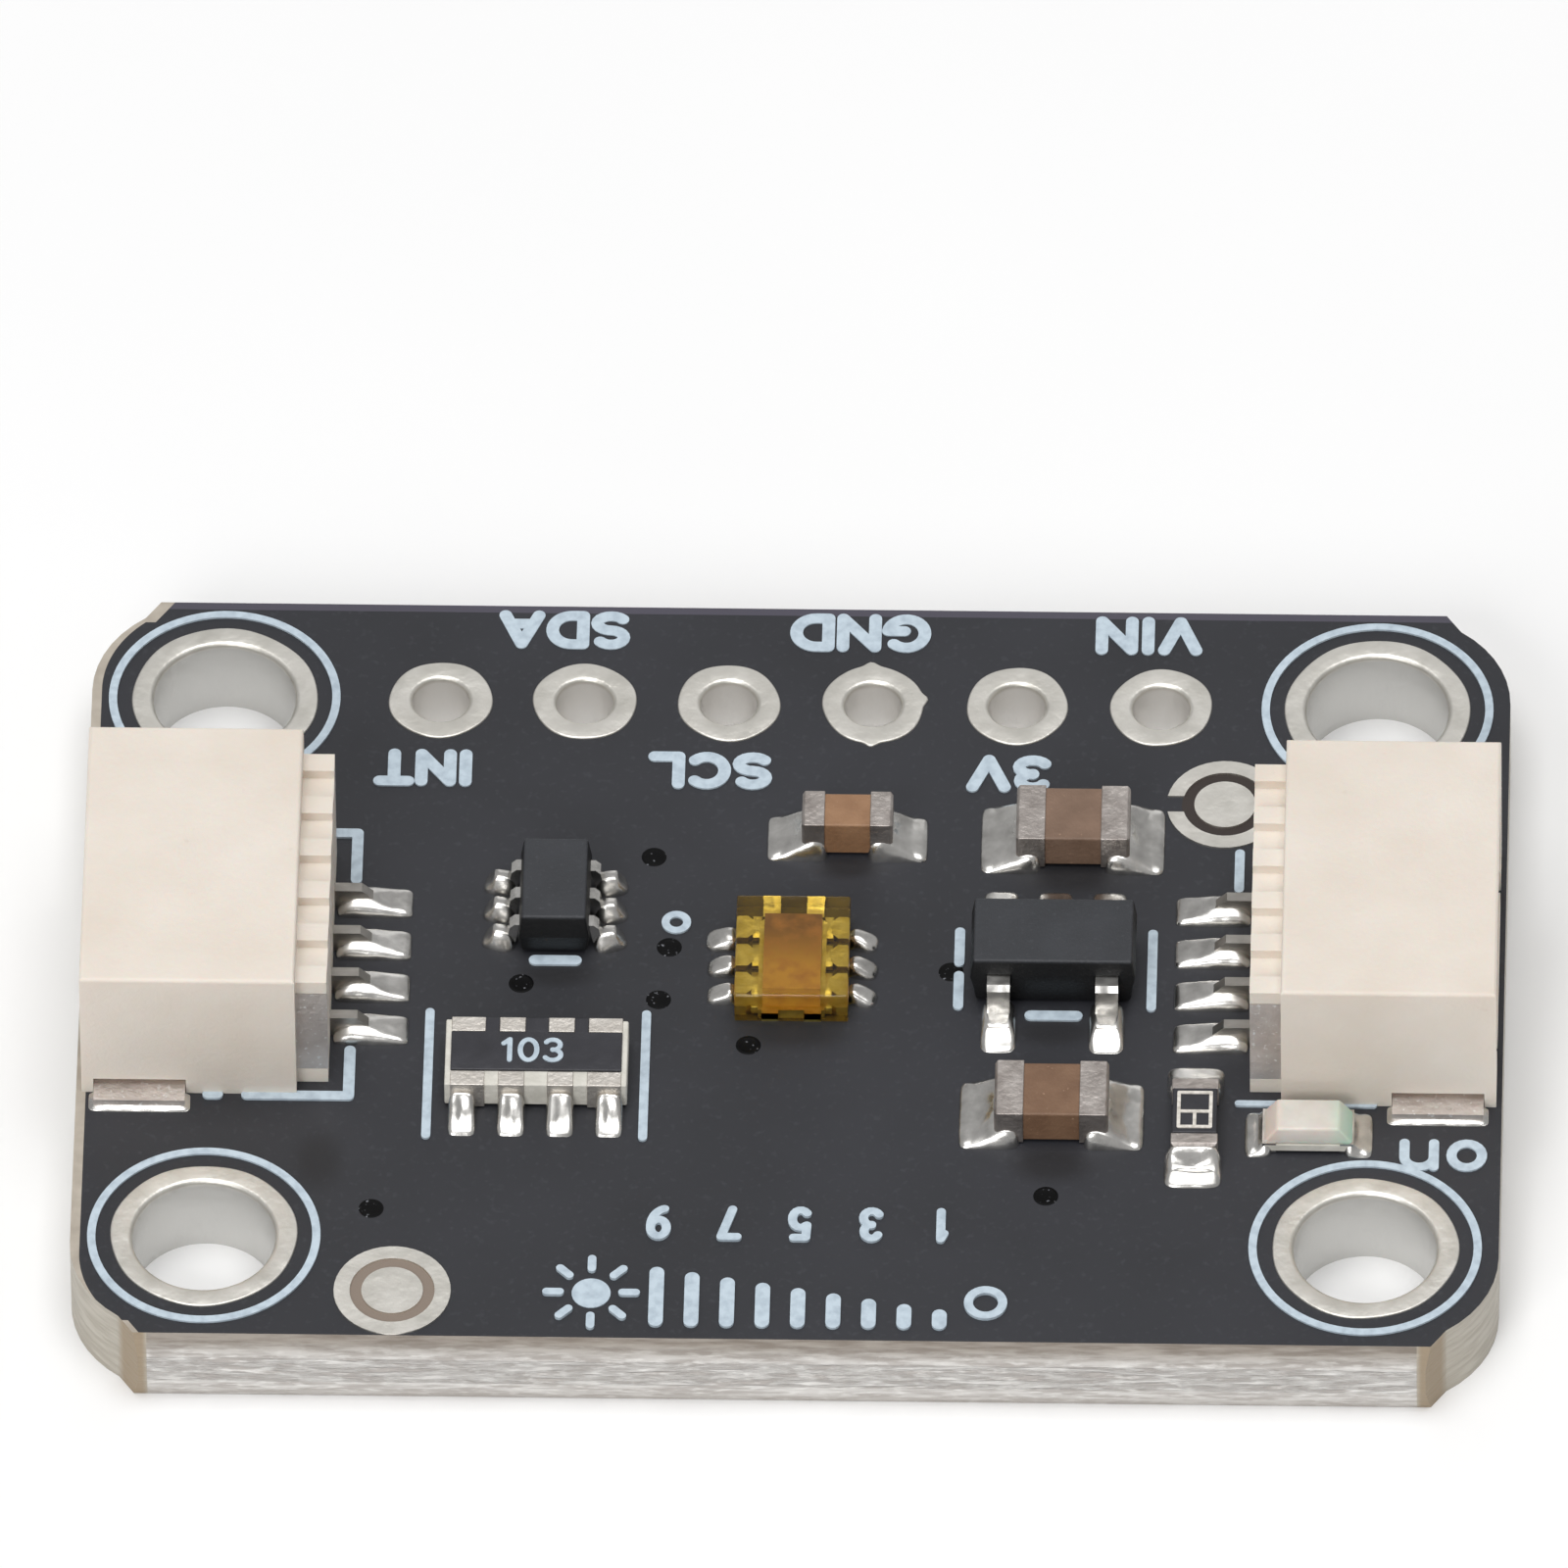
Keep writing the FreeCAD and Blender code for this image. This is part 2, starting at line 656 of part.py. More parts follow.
lead_high = lead_start + " + frame_lead_wide / 2"
for side, sign in (("right", ""), ("left", "-")):
    drawn = sketch(frame, side + "_lead_outline", "XY_Plane")
    loop(drawn, [
        (sign + "(sensor_wide / 2)", lead_low),
        (sign + "(sensor_wide / 2)", lead_high),
        (sign + lead_bevel, lead_high),
        (sign + lead_in, lead_high + " - frame_lead_round"),
        (sign + lead_in, lead_low + " + frame_lead_round"),
        (sign + lead_bevel, lead_low),
    ])
    lead = extrude(frame, "Pad", side + "_lead", drawn, "frame_thick")
    repeat(frame, side + "_leads", [lead], drawn, "V_Axis", "frame_lead_pitch", "frame_lead_count")
keep(frame)

die = body("sensor_die", "0", "sensor_shift", "board_thick + frame_thick")
drawn = sketch(die, "die_outline", "XY_Plane")
block(drawn, "-die_wide / 2", "die_wide / 2", "-die_long / 2", "die_long / 2")
extrude(die, "Pad", "die_silicon", drawn, "die_thick")
keep(die)

clear = body("sensor_block", *sensor_place)
drawn = sketch(clear, "sensor_outline", "XY_Plane")
block(drawn, "-sensor_wide / 2", "sensor_wide / 2", "-sensor_long / 2", "sensor_long / 2")
extrude(clear, "Pad", "sensor_epoxy", drawn, "sensor_high")
keep(less("sensor_package", clear, [frame, die]))


# Places between the sensor and the sockets
def between(low, high, long_size, share):
    """Middle of a piece that leaves a share of the spare room on its low side."""
    return "((%s) + %s * ((%s) - (%s) - (%s)) + (%s) / 2)" % (low, share, high, low, long_size, long_size)


def leads_axis(owner, name, side):
    """Sketch whose horizontal axis runs along a row of leads or joints."""
    made = sketch(owner, "%s_%s_row" % (name, side), "XY_Plane")
    made.Visibility = False
    return made


sensor_side = "sensor_wide / 2"
sensor_joint_end = "sensor_wide / 2 + sensor_joint_reach"
tail_joint_end = socket_back + " - tail_reach - tail_joint_long / 2"
shifter_span = "shifter_wide + 2 * (shifter_foot_reach + gull_joint_toe)"
regulator_x = between(sensor_joint_end, tail_joint_end, "regulator_long", "regulator_share")
shifter_x = "-" + between(sensor_joint_end, tail_joint_end, shifter_span, "shifter_share")


# Gull wing packages
# Black epoxy body with drafted sides, moulded round leads that are bent down to feet.
def gull_package(name, place, rows):
    """Leads bent in an S and the drafted body moulded round their roots."""
    size = name + "_"
    leads = body(name + "_leads", *place)
    half = size + "wide / 2"
    exit_top = size + "lead_exit"
    out = size + "lead_out"
    reach = size + "foot_reach"
    for side, sign, count in rows:
        along = "-%slead_pitch * (%d - 1) / 2" % (size, count)
        pitch = size + "lead_pitch"
        if count == 2:
            along = "-%slead_pitch" % size
            pitch = "2 * " + pitch
        drawn = sketch(leads, "%s_%s_lead_outline" % (name, side), "YZ_Plane", along)
        leg = "%s + %s" % (half, out)
        points = [
            (half + " - lead_bed", exit_top),
            (leg + " - lead_bend", exit_top),
            (leg, exit_top + " - lead_bend"),
            (leg + " + lead_lean", "lead_thick + stand_off"),
            (half + " + " + reach, "lead_thick + stand_off"),
            (half + " + " + reach, "stand_off"),
            (leg + " + lead_lean - lead_thick + lead_bend", "stand_off"),
            (leg + " + lead_lean - lead_thick", "stand_off + lead_bend"),
            (leg + " - lead_thick", exit_top + " - lead_thick"),
            (half + " - lead_bed", exit_top + " - lead_thick"),
        ]
        loop(drawn, [("%s(%s)" % (sign, y), z) for y, z in points])
        lead = extrude(leads, "Pad", "%s_%s_lead" % (name, side), drawn, size + "lead_wide", middle=True)
        doc.recompute()
        row = leads_axis(leads, name, side)
        repeat(leads, "%s_%s_leads" % (name, side), [lead], row, "H_Axis", pitch, str(count))
    keep(leads)
    mould = body(name + "_mould", *place)
    split = exit_top + " - lead_thick / 2"
    drawn = sketch(mould, name + "_upper_outline", "XY_Plane", split)
    block(drawn, "-%slong / 2" % size, "%slong / 2" % size, "-" + half, half)
    extrude(mould, "Pad", name + "_upper", drawn, "%shigh - (%s)" % (size, split), taper="-mould_draft")
    drawn = sketch(mould, name + "_lower_outline", "XY_Plane", split)
    block(drawn, "-%slong / 2" % size, "%slong / 2" % size, "-" + half, half)
    extrude(mould, "Pad", name + "_lower", drawn, split + " - body_gap", back=True, taper="-mould_draft")
    return keep(less(name + "_body", mould, [leads]))


GULLS = [
    ("regulator", regulator_x, "regulator_up", 0, [("near", "-", 2), ("far", "", 3)]),
    ("shifter", shifter_x, "shifter_up", 90, [("near", "-", 3), ("far", "", 3)]),
]
for name, x, y, turn, rows in GULLS:
    gull_package(name, (x, y, "board_thick", turn), rows)


# Chip parts
# Ceramic block dipped in metal at both ends; the resistors carry a dark glass coat on top.
def chip(name, place, size, cap):
    """Ceramic block and the two metal caps wrapped round its ends."""
    long_size, wide_size, high_size = size
    ends = body(name + "_end_blocks", *place)
    drawn = sketch(ends, name + "_end_outline", "XZ_Plane")
    for sign in ("", "-"):
        outer, inner = "%s(%s / 2)" % (sign, long_size), "%s(%s / 2 - %s)" % (sign, long_size, cap)
        block(drawn, inner, outer, "0", high_size)
    extrude(ends, "Pad", name + "_ends", drawn, wide_size, middle=True)
    limit = value(long_size) / 2
    soften(
        ends, "Chamfer", name + "_bevels", "cap_bevel",
        lambda middle, along: same(abs(middle.x), limit),
    )
    core = body(name + "_body", *place)
    drawn = sketch(core, name + "_core_outline", "XY_Plane", "cap_wall")
    block(
        drawn,
        "cap_wall - %s / 2" % long_size,
        "%s / 2 - cap_wall" % long_size,
        "cap_wall - %s / 2" % wide_size,
        "%s / 2 - cap_wall" % wide_size,
    )
    extrude(core, "Pad", name + "_ceramic", drawn, high_size + " - 2 * cap_wall")
    keep(core)
    return keep(less(name + "_terminals", ends, [core]))


SMALL = ("small_chip_long", "small_chip_wide", "small_chip_high")
LARGE = ("large_chip_long", "large_chip_wide", "large_chip_high")
RESISTOR = ("small_chip_long", "small_chip_wide", "led_resistor_high")
deck = "board_thick + stand_off"
small_joint_end = "small_capacitor_right + small_chip_long / 2 + small_joint_reach"
large_span = "large_chip_long + 2 * large_joint_reach"
far_capacitor_x = between(small_joint_end, socket_back, large_span, "far_capacitor_share")
far_capacitor = (far_capacitor_x, "far_capacitor_up", deck)
near_capacitor = (socket_back + " - near_capacitor_from_socket", "-near_capacitor_down", deck)
small_capacitor = ("small_capacitor_right", "small_capacitor_up", deck)
led_resistor = (socket_back + " - led_resistor_from_socket", "-led_resistor_down", deck, 90)
chip("far_capacitor", far_capacitor, LARGE, "large_cap_long")
chip("near_capacitor", near_capacitor, LARGE, "large_cap_long")
chip("small_capacitor", small_capacitor, SMALL, "small_cap_long")
chip("led_resistor", led_resistor, RESISTOR, "led_resistor_cap")

x, y, z, turn = led_resistor
coat = body("led_resistor_coat", x, y, z + " + led_resistor_high - cap_wall", turn)
drawn = sketch(coat, "led_resistor_coat_outline", "XY_Plane")
coat_half = "(small_chip_long / 2 - led_resistor_cap)"
coat_side = "(small_chip_wide / 2 - coat_thick)"
block(drawn, "-" + coat_half, coat_half, "-" + coat_side, coat_side)
extrude(coat, "Pad", "led_resistor_glass", drawn, "cap_wall + coat_thick")
keep(coat)

# Fiducial marks
# Etched and tinned copper dot inside a ring, one at the near edge and one between the far
# capacitor and the right socket. The ring of the far one is open towards the capacitor.
near_mark_x = "-(%s - near_fiducial_beside_hole)" % mount_x
near_mark_y = "-(board_deep / 2 - score_run - fiducial_ring_outer)"
far_joint_end = far_capacitor_x + " + large_chip_long / 2 + large_joint_reach"
far_mark_x = far_joint_end + " + far_fiducial_clear + fiducial_ring_outer"
far_mark_y = "shell_wide / 2 + far_fiducial_beside_socket + fiducial_ring_outer"
FIDUCIALS = [
    ("near_left_fiducial", near_mark_x, near_mark_y),
    ("far_right_fiducial", far_mark_x, far_mark_y),
]
for label, x, y in FIDUCIALS:
    mark = body(label, x, y, "board_thick")
    drawn = sketch(mark, label + "_outline", "XY_Plane")
    for radius in ("fiducial_dot_radius", "fiducial_ring_inner", "fiducial_ring_outer"):
        ring(drawn, "0", "0", radius)
    extrude(mark, "Pad", label + "_copper", drawn, "copper")
    if label.startswith("far"):
        opening = sketch(mark, label + "_opening", "XY_Plane", "copper")
        block(
            opening,
            "-fiducial_ring_outer - cut_past",
            "-fiducial_dot_radius - cut_past",
            "-fiducial_ring_gap / 2",
            "fiducial_ring_gap / 2",
        )
        extrude(mark, "Pocket", label + "_gap", opening)
    keep(mark)

# Resistor array
# Four resistors printed on one ceramic block, with eight wrapped terminals and one glass coat.
ARRAY_COUNT = 4
array_x = "-" + between(sensor_side, tail_joint_end, "array_long", "array_share")
array_place = (array_x, "-array_down", deck)
caps = body("resistor_array_wraps", *array_place)
drawn = sketch(caps, "array_terminal_outline", "XY_Plane")
for sign_y in ("", "-"):
    outer = sign_y + "(array_wide / 2)"
    inner = sign_y + "(array_wide / 2 - array_cap_deep)"
    for sign_x in ("", "-"):
        side = sign_x + "(array_long / 2 - coat_margin)"
        block(drawn, side, sign_x + "(array_long / 2 - coat_margin - array_end_cap_wide)", inner, outer)
        centre = sign_x + "(array_pitch / 2 - array_mid_cap_wide / 2)"
        block(drawn, centre, sign_x + "(array_pitch / 2 + array_mid_cap_wide / 2)", inner, outer)
extrude(caps, "Pad", "array_terminal_wraps", drawn, "array_high")
core = body("resistor_array_body", *array_place)
drawn = sketch(core, "array_core_outline", "XY_Plane", "cap_wall")
block(drawn, "-array_long / 2", "array_long / 2", "cap_wall - array_wide / 2", "array_wide / 2 - cap_wall")
extrude(core, "Pad", "array_ceramic", drawn, "array_high - 2 * cap_wall")
keep(core)
keep(less("resistor_array_terminals", caps, [core]))
coat = body("resistor_array_coat", array_x, "-array_down", deck + " + array_high - cap_wall")
drawn = sketch(coat, "array_coat_outline", "XY_Plane")
block(
    drawn,
    "coat_margin - array_long / 2",
    "array_long / 2 - coat_margin",
    "array_cap_deep + coat_thick - array_wide / 2",
    "array_wide / 2 - array_cap_deep - coat_thick",
)
extrude(coat, "Pad", "array_glass", drawn, "cap_wall + coat_thick")
keep(coat)

# Indicator lamp
# Laminate base with two half round gilt ends and a milky lens moulded over the chip.
led_x = socket_back + " + led_past_socket_back"
led_y = "-(shell_wide / 2 + led_beside_socket)"
led_place = (led_x, led_y, deck)
base = body("led_base", *led_place)
drawn = sketch(base, "led_base_outline", "XY_Plane", "led_pad_thick")
block(
    drawn,
    "led_pad_thick - small_chip_long / 2",
    "small_chip_long / 2 - led_pad_thick",
    "-small_chip_wide / 2",
    "small_chip_wide / 2",
)
extrude(base, "Pad", "led_laminate", drawn, "led_base_high - 2 * led_pad_thick")
keep(base)
ends = body("led_ends", *led_place)
drawn = sketch(ends, "led_end_outline", "XZ_Plane")
for sign in ("", "-"):
    outer = sign + "(small_chip_long / 2)"
    inner = sign + "(small_chip_long / 2 - led_pad_long)"
    block(drawn, inner, outer, "0", "led_base_high")
extrude(ends, "Pad", "led_end_wraps", drawn, "small_chip_wide", middle=True)
keep(less("led_terminals", ends, [base]))
lens = body("led_lens", led_x, led_y, deck + " + led_base_high - led_pad_thick")
drawn = sketch(lens, "led_lens_outline", "XY_Plane")
block(drawn, "-led_lens_long / 2", "led_lens_long / 2", "-small_chip_wide / 2", "small_chip_wide / 2")
extrude(lens, "Pad", "led_lens_resin", drawn, "led_lens_high + led_pad_thick", taper="-led_lens_draft")
keep(lens)


# Solder joints
# Reflowed solder on each pad, drawn up the metal in a hollow slope.
HOLLOW_SLOPE = [("1", "0"), ("0.45", "0.22"), ("0.12", "0.6"), ("0", "1")]


def slope(start, reach, high):
    """Points of a hollow slope from its toe to its top, as shares of its reach and height."""
    points = []
    for out, up in HOLLOW_SLOPE:
        points.append((start + " + %s * %s" % (reach, out), "joint_skin + %s * %s" % (high, up)))
    return points


def end_joints(label, place, long_size, wide, reach, high, cap, tools):
    """Pair of joints at the two ends of a chip, each with a hollow slope outwards."""
    raw = body(label + "_raw", place[0], place[1], "board_thick", place[3] if len(place) > 3 else 0)
    drawn = sketch(raw, label + "_section", "XZ_Plane")
    half = "%s / 2" % long_size
    for sign in ("", "-"):
        points = [
            (half + " - " + cap, "0"),
            (half + " + " + reach, "0"),
            *slope(half, reach, high),
            (half + " - cap_bevel", "joint_skin + " + high),
            (half + " - cap_bevel", "stand_off"),
            (half + " - " + cap, "stand_off"),
        ]
        loop(drawn, [("%s(%s)" % (sign, x), z) for x, z in points])
    extrude(raw, "Pad", label + "_wedges", drawn, wide, middle=True)
    return keep(less(label, raw, tools))


def named(*labels):
    """Finished pieces by their labels."""
    return [piece for label in labels for piece in pieces if piece.Label == label]


end_joints(
    "far_capacitor_solder", far_capacitor, "large_chip_long", "large_joint_wide",
    "large_joint_reach", "large_joint_high", "large_cap_long",
    named("far_capacitor_terminals", "far_capacitor_body"),
)
end_joints(
    "near_capacitor_solder", near_capacitor, "large_chip_long", "large_joint_wide",
    "large_joint_reach", "large_joint_high", "large_cap_long",
    named("near_capacitor_terminals", "near_capacitor_body"),
)
end_joints(
    "small_capacitor_solder", small_capacitor, "small_chip_long", "small_joint_wide",
    "small_joint_reach", "small_joint_high", "small_cap_long",
    named("small_capacitor_terminals", "small_capacitor_body"),
)
end_joints(
    "led_resistor_solder", led_resistor, "small_chip_long", "small_joint_wide",
    "small_joint_reach", "small_joint_high", "led_resistor_cap",
    named("led_resistor_terminals", "led_resistor_body"),
)
end_joints(
    "led_solder", led_place, "small_chip_long", "small_joint_wide",
    "led_joint_reach", "led_joint_high", "led_pad_long",
    named("led_terminals", "led_base"),
)


def frustum(owner, name, left, right, low, high, rise, draft):
    """Low block of solder with sloping sides on a pad."""
    drawn = sketch(owner, name + "_outline", "XY_Plane")
    block(drawn, left, right, low, high)
    made = extrude(owner, "Pad", name, drawn, rise, taper="-" + draft)
    return made, drawn


raw = body("resistor_array_solder_raw", array_x, "-array_down", "board_thick")
drawn = sketch(raw, "array_joint_section", "YZ_Plane", "-array_pitch * (%d - 1) / 2" % ARRAY_COUNT)
for sign in ("", "-"):
    half = "array_wide / 2"
    points = [
        (half + " - array_cap_deep", "0"),
        (half + " + array_joint_reach", "0"),
        *slope(half, "array_joint_reach", "array_joint_high"),
        (half, "stand_off"),
        (half + " - array_cap_deep", "stand_off"),
    ]
    loop(drawn, [("%s(%s)" % (sign, y), z) for y, z in points])
first = extrude(raw, "Pad", "array_joint", drawn, "array_joint_wide", middle=True)
doc.recompute()
row = leads_axis(raw, "array", "joint")
repeat(raw, "array_joints", [first], row, "H_Axis", "array_pitch", str(ARRAY_COUNT))
keep(less("resistor_array_solder", raw, named("resistor_array_terminals")))

for name, x, y, turn, rows in GULLS:
    raw = body(name + "_solder_raw", x, y, "board_thick", turn)
    size = name + "_"
    for side, sign, count in rows:
        pitch = size + "lead_pitch"
        along = "-%s * (%d - 1) / 2" % (pitch, count)
        if count == 2:
            along = "-" + pitch
            pitch = "2 * " + pitch
        margin = "%slead_wide / 2 + gull_joint_margin" % size
        inner = "%s(%swide / 2 + %slead_out - gull_joint_heel)" % (sign, size, size)
        outer = "%s(%swide / 2 + %sfoot_reach + gull_joint_toe)" % (sign, size, size)
        low, high = (outer, inner) if sign else (inner, outer)
        joint, drawn = frustum(
            raw, "%s_%s_joint" % (name, side), "%s - (%s)" % (along, margin), "%s + %s" % (along, margin),
            low, high, "gull_joint_high", "gull_joint_draft",
        )
        repeat(raw, "%s_%s_joints" % (name, side), [joint], drawn, "H_Axis", pitch, str(count))
    keep(less(name + "_solder", raw, named(name + "_leads", name + "_body")))

raw = body("sensor_solder_raw", *sensor_place)
for side, sign in (("right", ""), ("left", "-")):
    nearest = "frame_lead_pitch * (frame_lead_count - 1) / 2"
    drawn = sketch(raw, side + "_sensor_joint_section", "XZ_Plane", nearest)
    half = "sensor_wide / 2"
    points = [(half, "0"), (sensor_joint_end, "0"), *slope(half, "sensor_joint_reach", "sensor_joint_high")]
    loop(drawn, [("%s(%s)" % (sign, x), z) for x, z in points])
    joint = extrude(raw, "Pad", side + "_sensor_joint", drawn, "sensor_joint_wide", middle=True)
    doc.recompute()
    row = leads_axis(raw, "sensor", side)
    repeat(raw, side + "_sensor_joints", [joint], row, "V_Axis", "frame_lead_pitch", "frame_lead_count")
raw.Label = "sensor_solder"
keep(raw)

for side, x, turn in SOCKETS:
    raw = body(side + "_solder_raw", x, "0", "board_thick", turn)
    start = "-contact_pitch * (contact_count - 1) / 2"
    joint, drawn = frustum(
        raw, side + "_tail_joint",
        "-tail_reach - tail_joint_long / 2", "-slot_gap",
        start + " - tail_joint_wide / 2", start + " + tail_joint_wide / 2",
        "tail_joint_high", "tail_joint_draft",
    )
    repeat(raw, side + "_tail_joints", [joint], drawn, "V_Axis", "contact_pitch", "contact_count")
    for sign in ("", "-"):
        low = "%s(shell_wide / 2)" % sign
        high = "%s(shell_wide / 2 + tab_joint_wide)" % sign
        low, high = (high, low) if sign else (low, high)
        frustum(
            raw, side + ("_near" if sign else "_far") + "_tab_joint",
            "tab_foot_start - (tab_joint_long - tab_foot_long) / 2",
            "tab_foot_start + (tab_joint_long + tab_foot_long) / 2",
            low, high, "tab_joint_high", "tab_joint_draft",
        )
    keep(less(side + "_solder", raw, metal[side]))

doc.recompute()
for item in doc.Objects:
    if "Invalid" in item.State or "Error" in item.State:
        raise RuntimeError("%s does not compute" % item.Label)
for piece in pieces:
    if piece.Shape.isNull() or not piece.Shape.isValid() or piece.Shape.Volume <= 0:
        raise RuntimeError("%s has no valid shape" % piece.Label)
for piece in pieces:
    piece.Shape.exportStep("parts/%s.step" % piece.Label)
    print("%s volume %.5f solids %d" % (piece.Label, piece.Shape.Volume, len(piece.Shape.Solids)))
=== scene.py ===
import math

import bmesh
import bpy
import numpy as np
from mathutils import Matrix, Vector


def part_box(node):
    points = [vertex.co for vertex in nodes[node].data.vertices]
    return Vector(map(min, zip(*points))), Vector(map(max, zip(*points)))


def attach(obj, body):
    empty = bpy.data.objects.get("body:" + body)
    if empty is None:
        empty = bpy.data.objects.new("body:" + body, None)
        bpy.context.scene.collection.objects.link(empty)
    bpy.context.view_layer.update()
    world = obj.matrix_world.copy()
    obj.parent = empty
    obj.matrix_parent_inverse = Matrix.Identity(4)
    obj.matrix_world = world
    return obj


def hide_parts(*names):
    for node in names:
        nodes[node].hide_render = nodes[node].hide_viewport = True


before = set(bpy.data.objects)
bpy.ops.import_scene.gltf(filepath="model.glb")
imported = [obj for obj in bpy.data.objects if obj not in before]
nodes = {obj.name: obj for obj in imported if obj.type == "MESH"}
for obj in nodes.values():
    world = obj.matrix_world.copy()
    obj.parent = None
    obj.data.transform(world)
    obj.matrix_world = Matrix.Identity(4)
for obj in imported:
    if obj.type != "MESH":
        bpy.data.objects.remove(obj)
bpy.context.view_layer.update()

# Circuit board
# Woven glass in epoxy, 1.6 mm thick, under a matte charcoal solder mask. Its panel was scored along
# the two long edges and snapped, which leaves a sloping flank above and below a torn rib. The short
# ends and the corners were cut by a router.
MM = 0.001
BOARD_TOP = 1.6
FACE_SKIN = 0.0015
FLAT = (1.0, 1.0, 0.0)
SCREW_X, SCREW_Y, SCREW_LAND = 10.16, 6.35, 1.64
PIN_PITCH, PIN_COUNT, PIN_Y, PIN_LAND = 2.54, 6, 6.35, 0.905


def linear(code):
    """An sRGB hex colour as linear red, green and blue with full cover: each channel is divided by
    255, then (c + 0.055) / 1.055 is raised to 2.4, or c / 12.92 where it is dark."""
    channels = np.array([int(code[i : i + 2], 16) for i in (1, 3, 5)]) / 255.0
    bright = ((channels + 0.055) / 1.055) ** 2.4
    return tuple(np.where(channels > 0.04045, bright, channels / 12.92)) + (1.0,)


def add(tree, kind, settings=None, links=None):
    """Adds one shader node: settings are its properties, and each input gets a value or a link."""
    node = tree.nodes.new(kind)
    for key, value in (settings or {}).items():
        setattr(node, key, value)
    for key, value in (links or {}).items():
        if isinstance(value, bpy.types.NodeSocket):
            tree.links.new(value, node.inputs[key])
        else:
            node.inputs[key].default_value = value
    return node


def new_finish(name, roughness, metallic=0.0):
    """A material with one principled shader, and the point on the object in millimetres."""
    finish = bpy.data.materials.new(name)
    finish.use_nodes = True
    tree = finish.node_tree
    shader = tree.nodes["Principled BSDF"]
    shader.inputs["Roughness"].default_value = roughness
    shader.inputs["Metallic"].default_value = metallic
    metres = add(tree, "ShaderNodeTexCoord").outputs["Object"]
    point = add(
        tree, "ShaderNodeVectorMath", {"operation": "SCALE"}, {0: metres, "Scale": 1.0 / MM}
    ).outputs[0]
    return finish, tree, shader, point


def clouds(tree, point, grain, low, high, stretch=(1.0, 1.0, 1.0), detail=3.0):
    """Noise with one blotch each grain millimetres, spread so that low to high runs from 0 to 1."""
    place = add(
        tree, "ShaderNodeVectorMath", {"operation": "MULTIPLY"}, {0: point, 1: stretch}
    ).outputs[0]
    noise = add(
        tree, "ShaderNodeTexNoise", {}, {"Vector": place, "Scale": 1.0 / grain, "Detail": detail}
    ).outputs[0]
    return add(tree, "ShaderNodeMapRange", {}, {0: noise, 1: low, 2: high}).outputs[0]


def blend(tree, share, first, second):
    """The first colour, turned into the second one where share is 1."""
    first, second = (linear(c) if isinstance(c, str) else c for c in (first, second))
    return add(
        tree, "ShaderNodeMix", {"data_type": "RGBA"}, {0: share, 6: first, 7: second}
    ).outputs[2]


def relief(tree, shader, height, depth):
    """Raises the surface by up to depth millimetres where height is 1."""
    bump = add(
        tree, "ShaderNodeBump", {}, {"Height": height, "Distance": depth * MM, "Strength": 1.0}
    )
    tree.links.new(bump.outputs[0], shader.inputs["Normal"])


def paint(names, finish):
    """Puts a finish on CAD nodes."""
    for name in names:
        for slot in nodes[name].material_slots:
            slot.material = finish


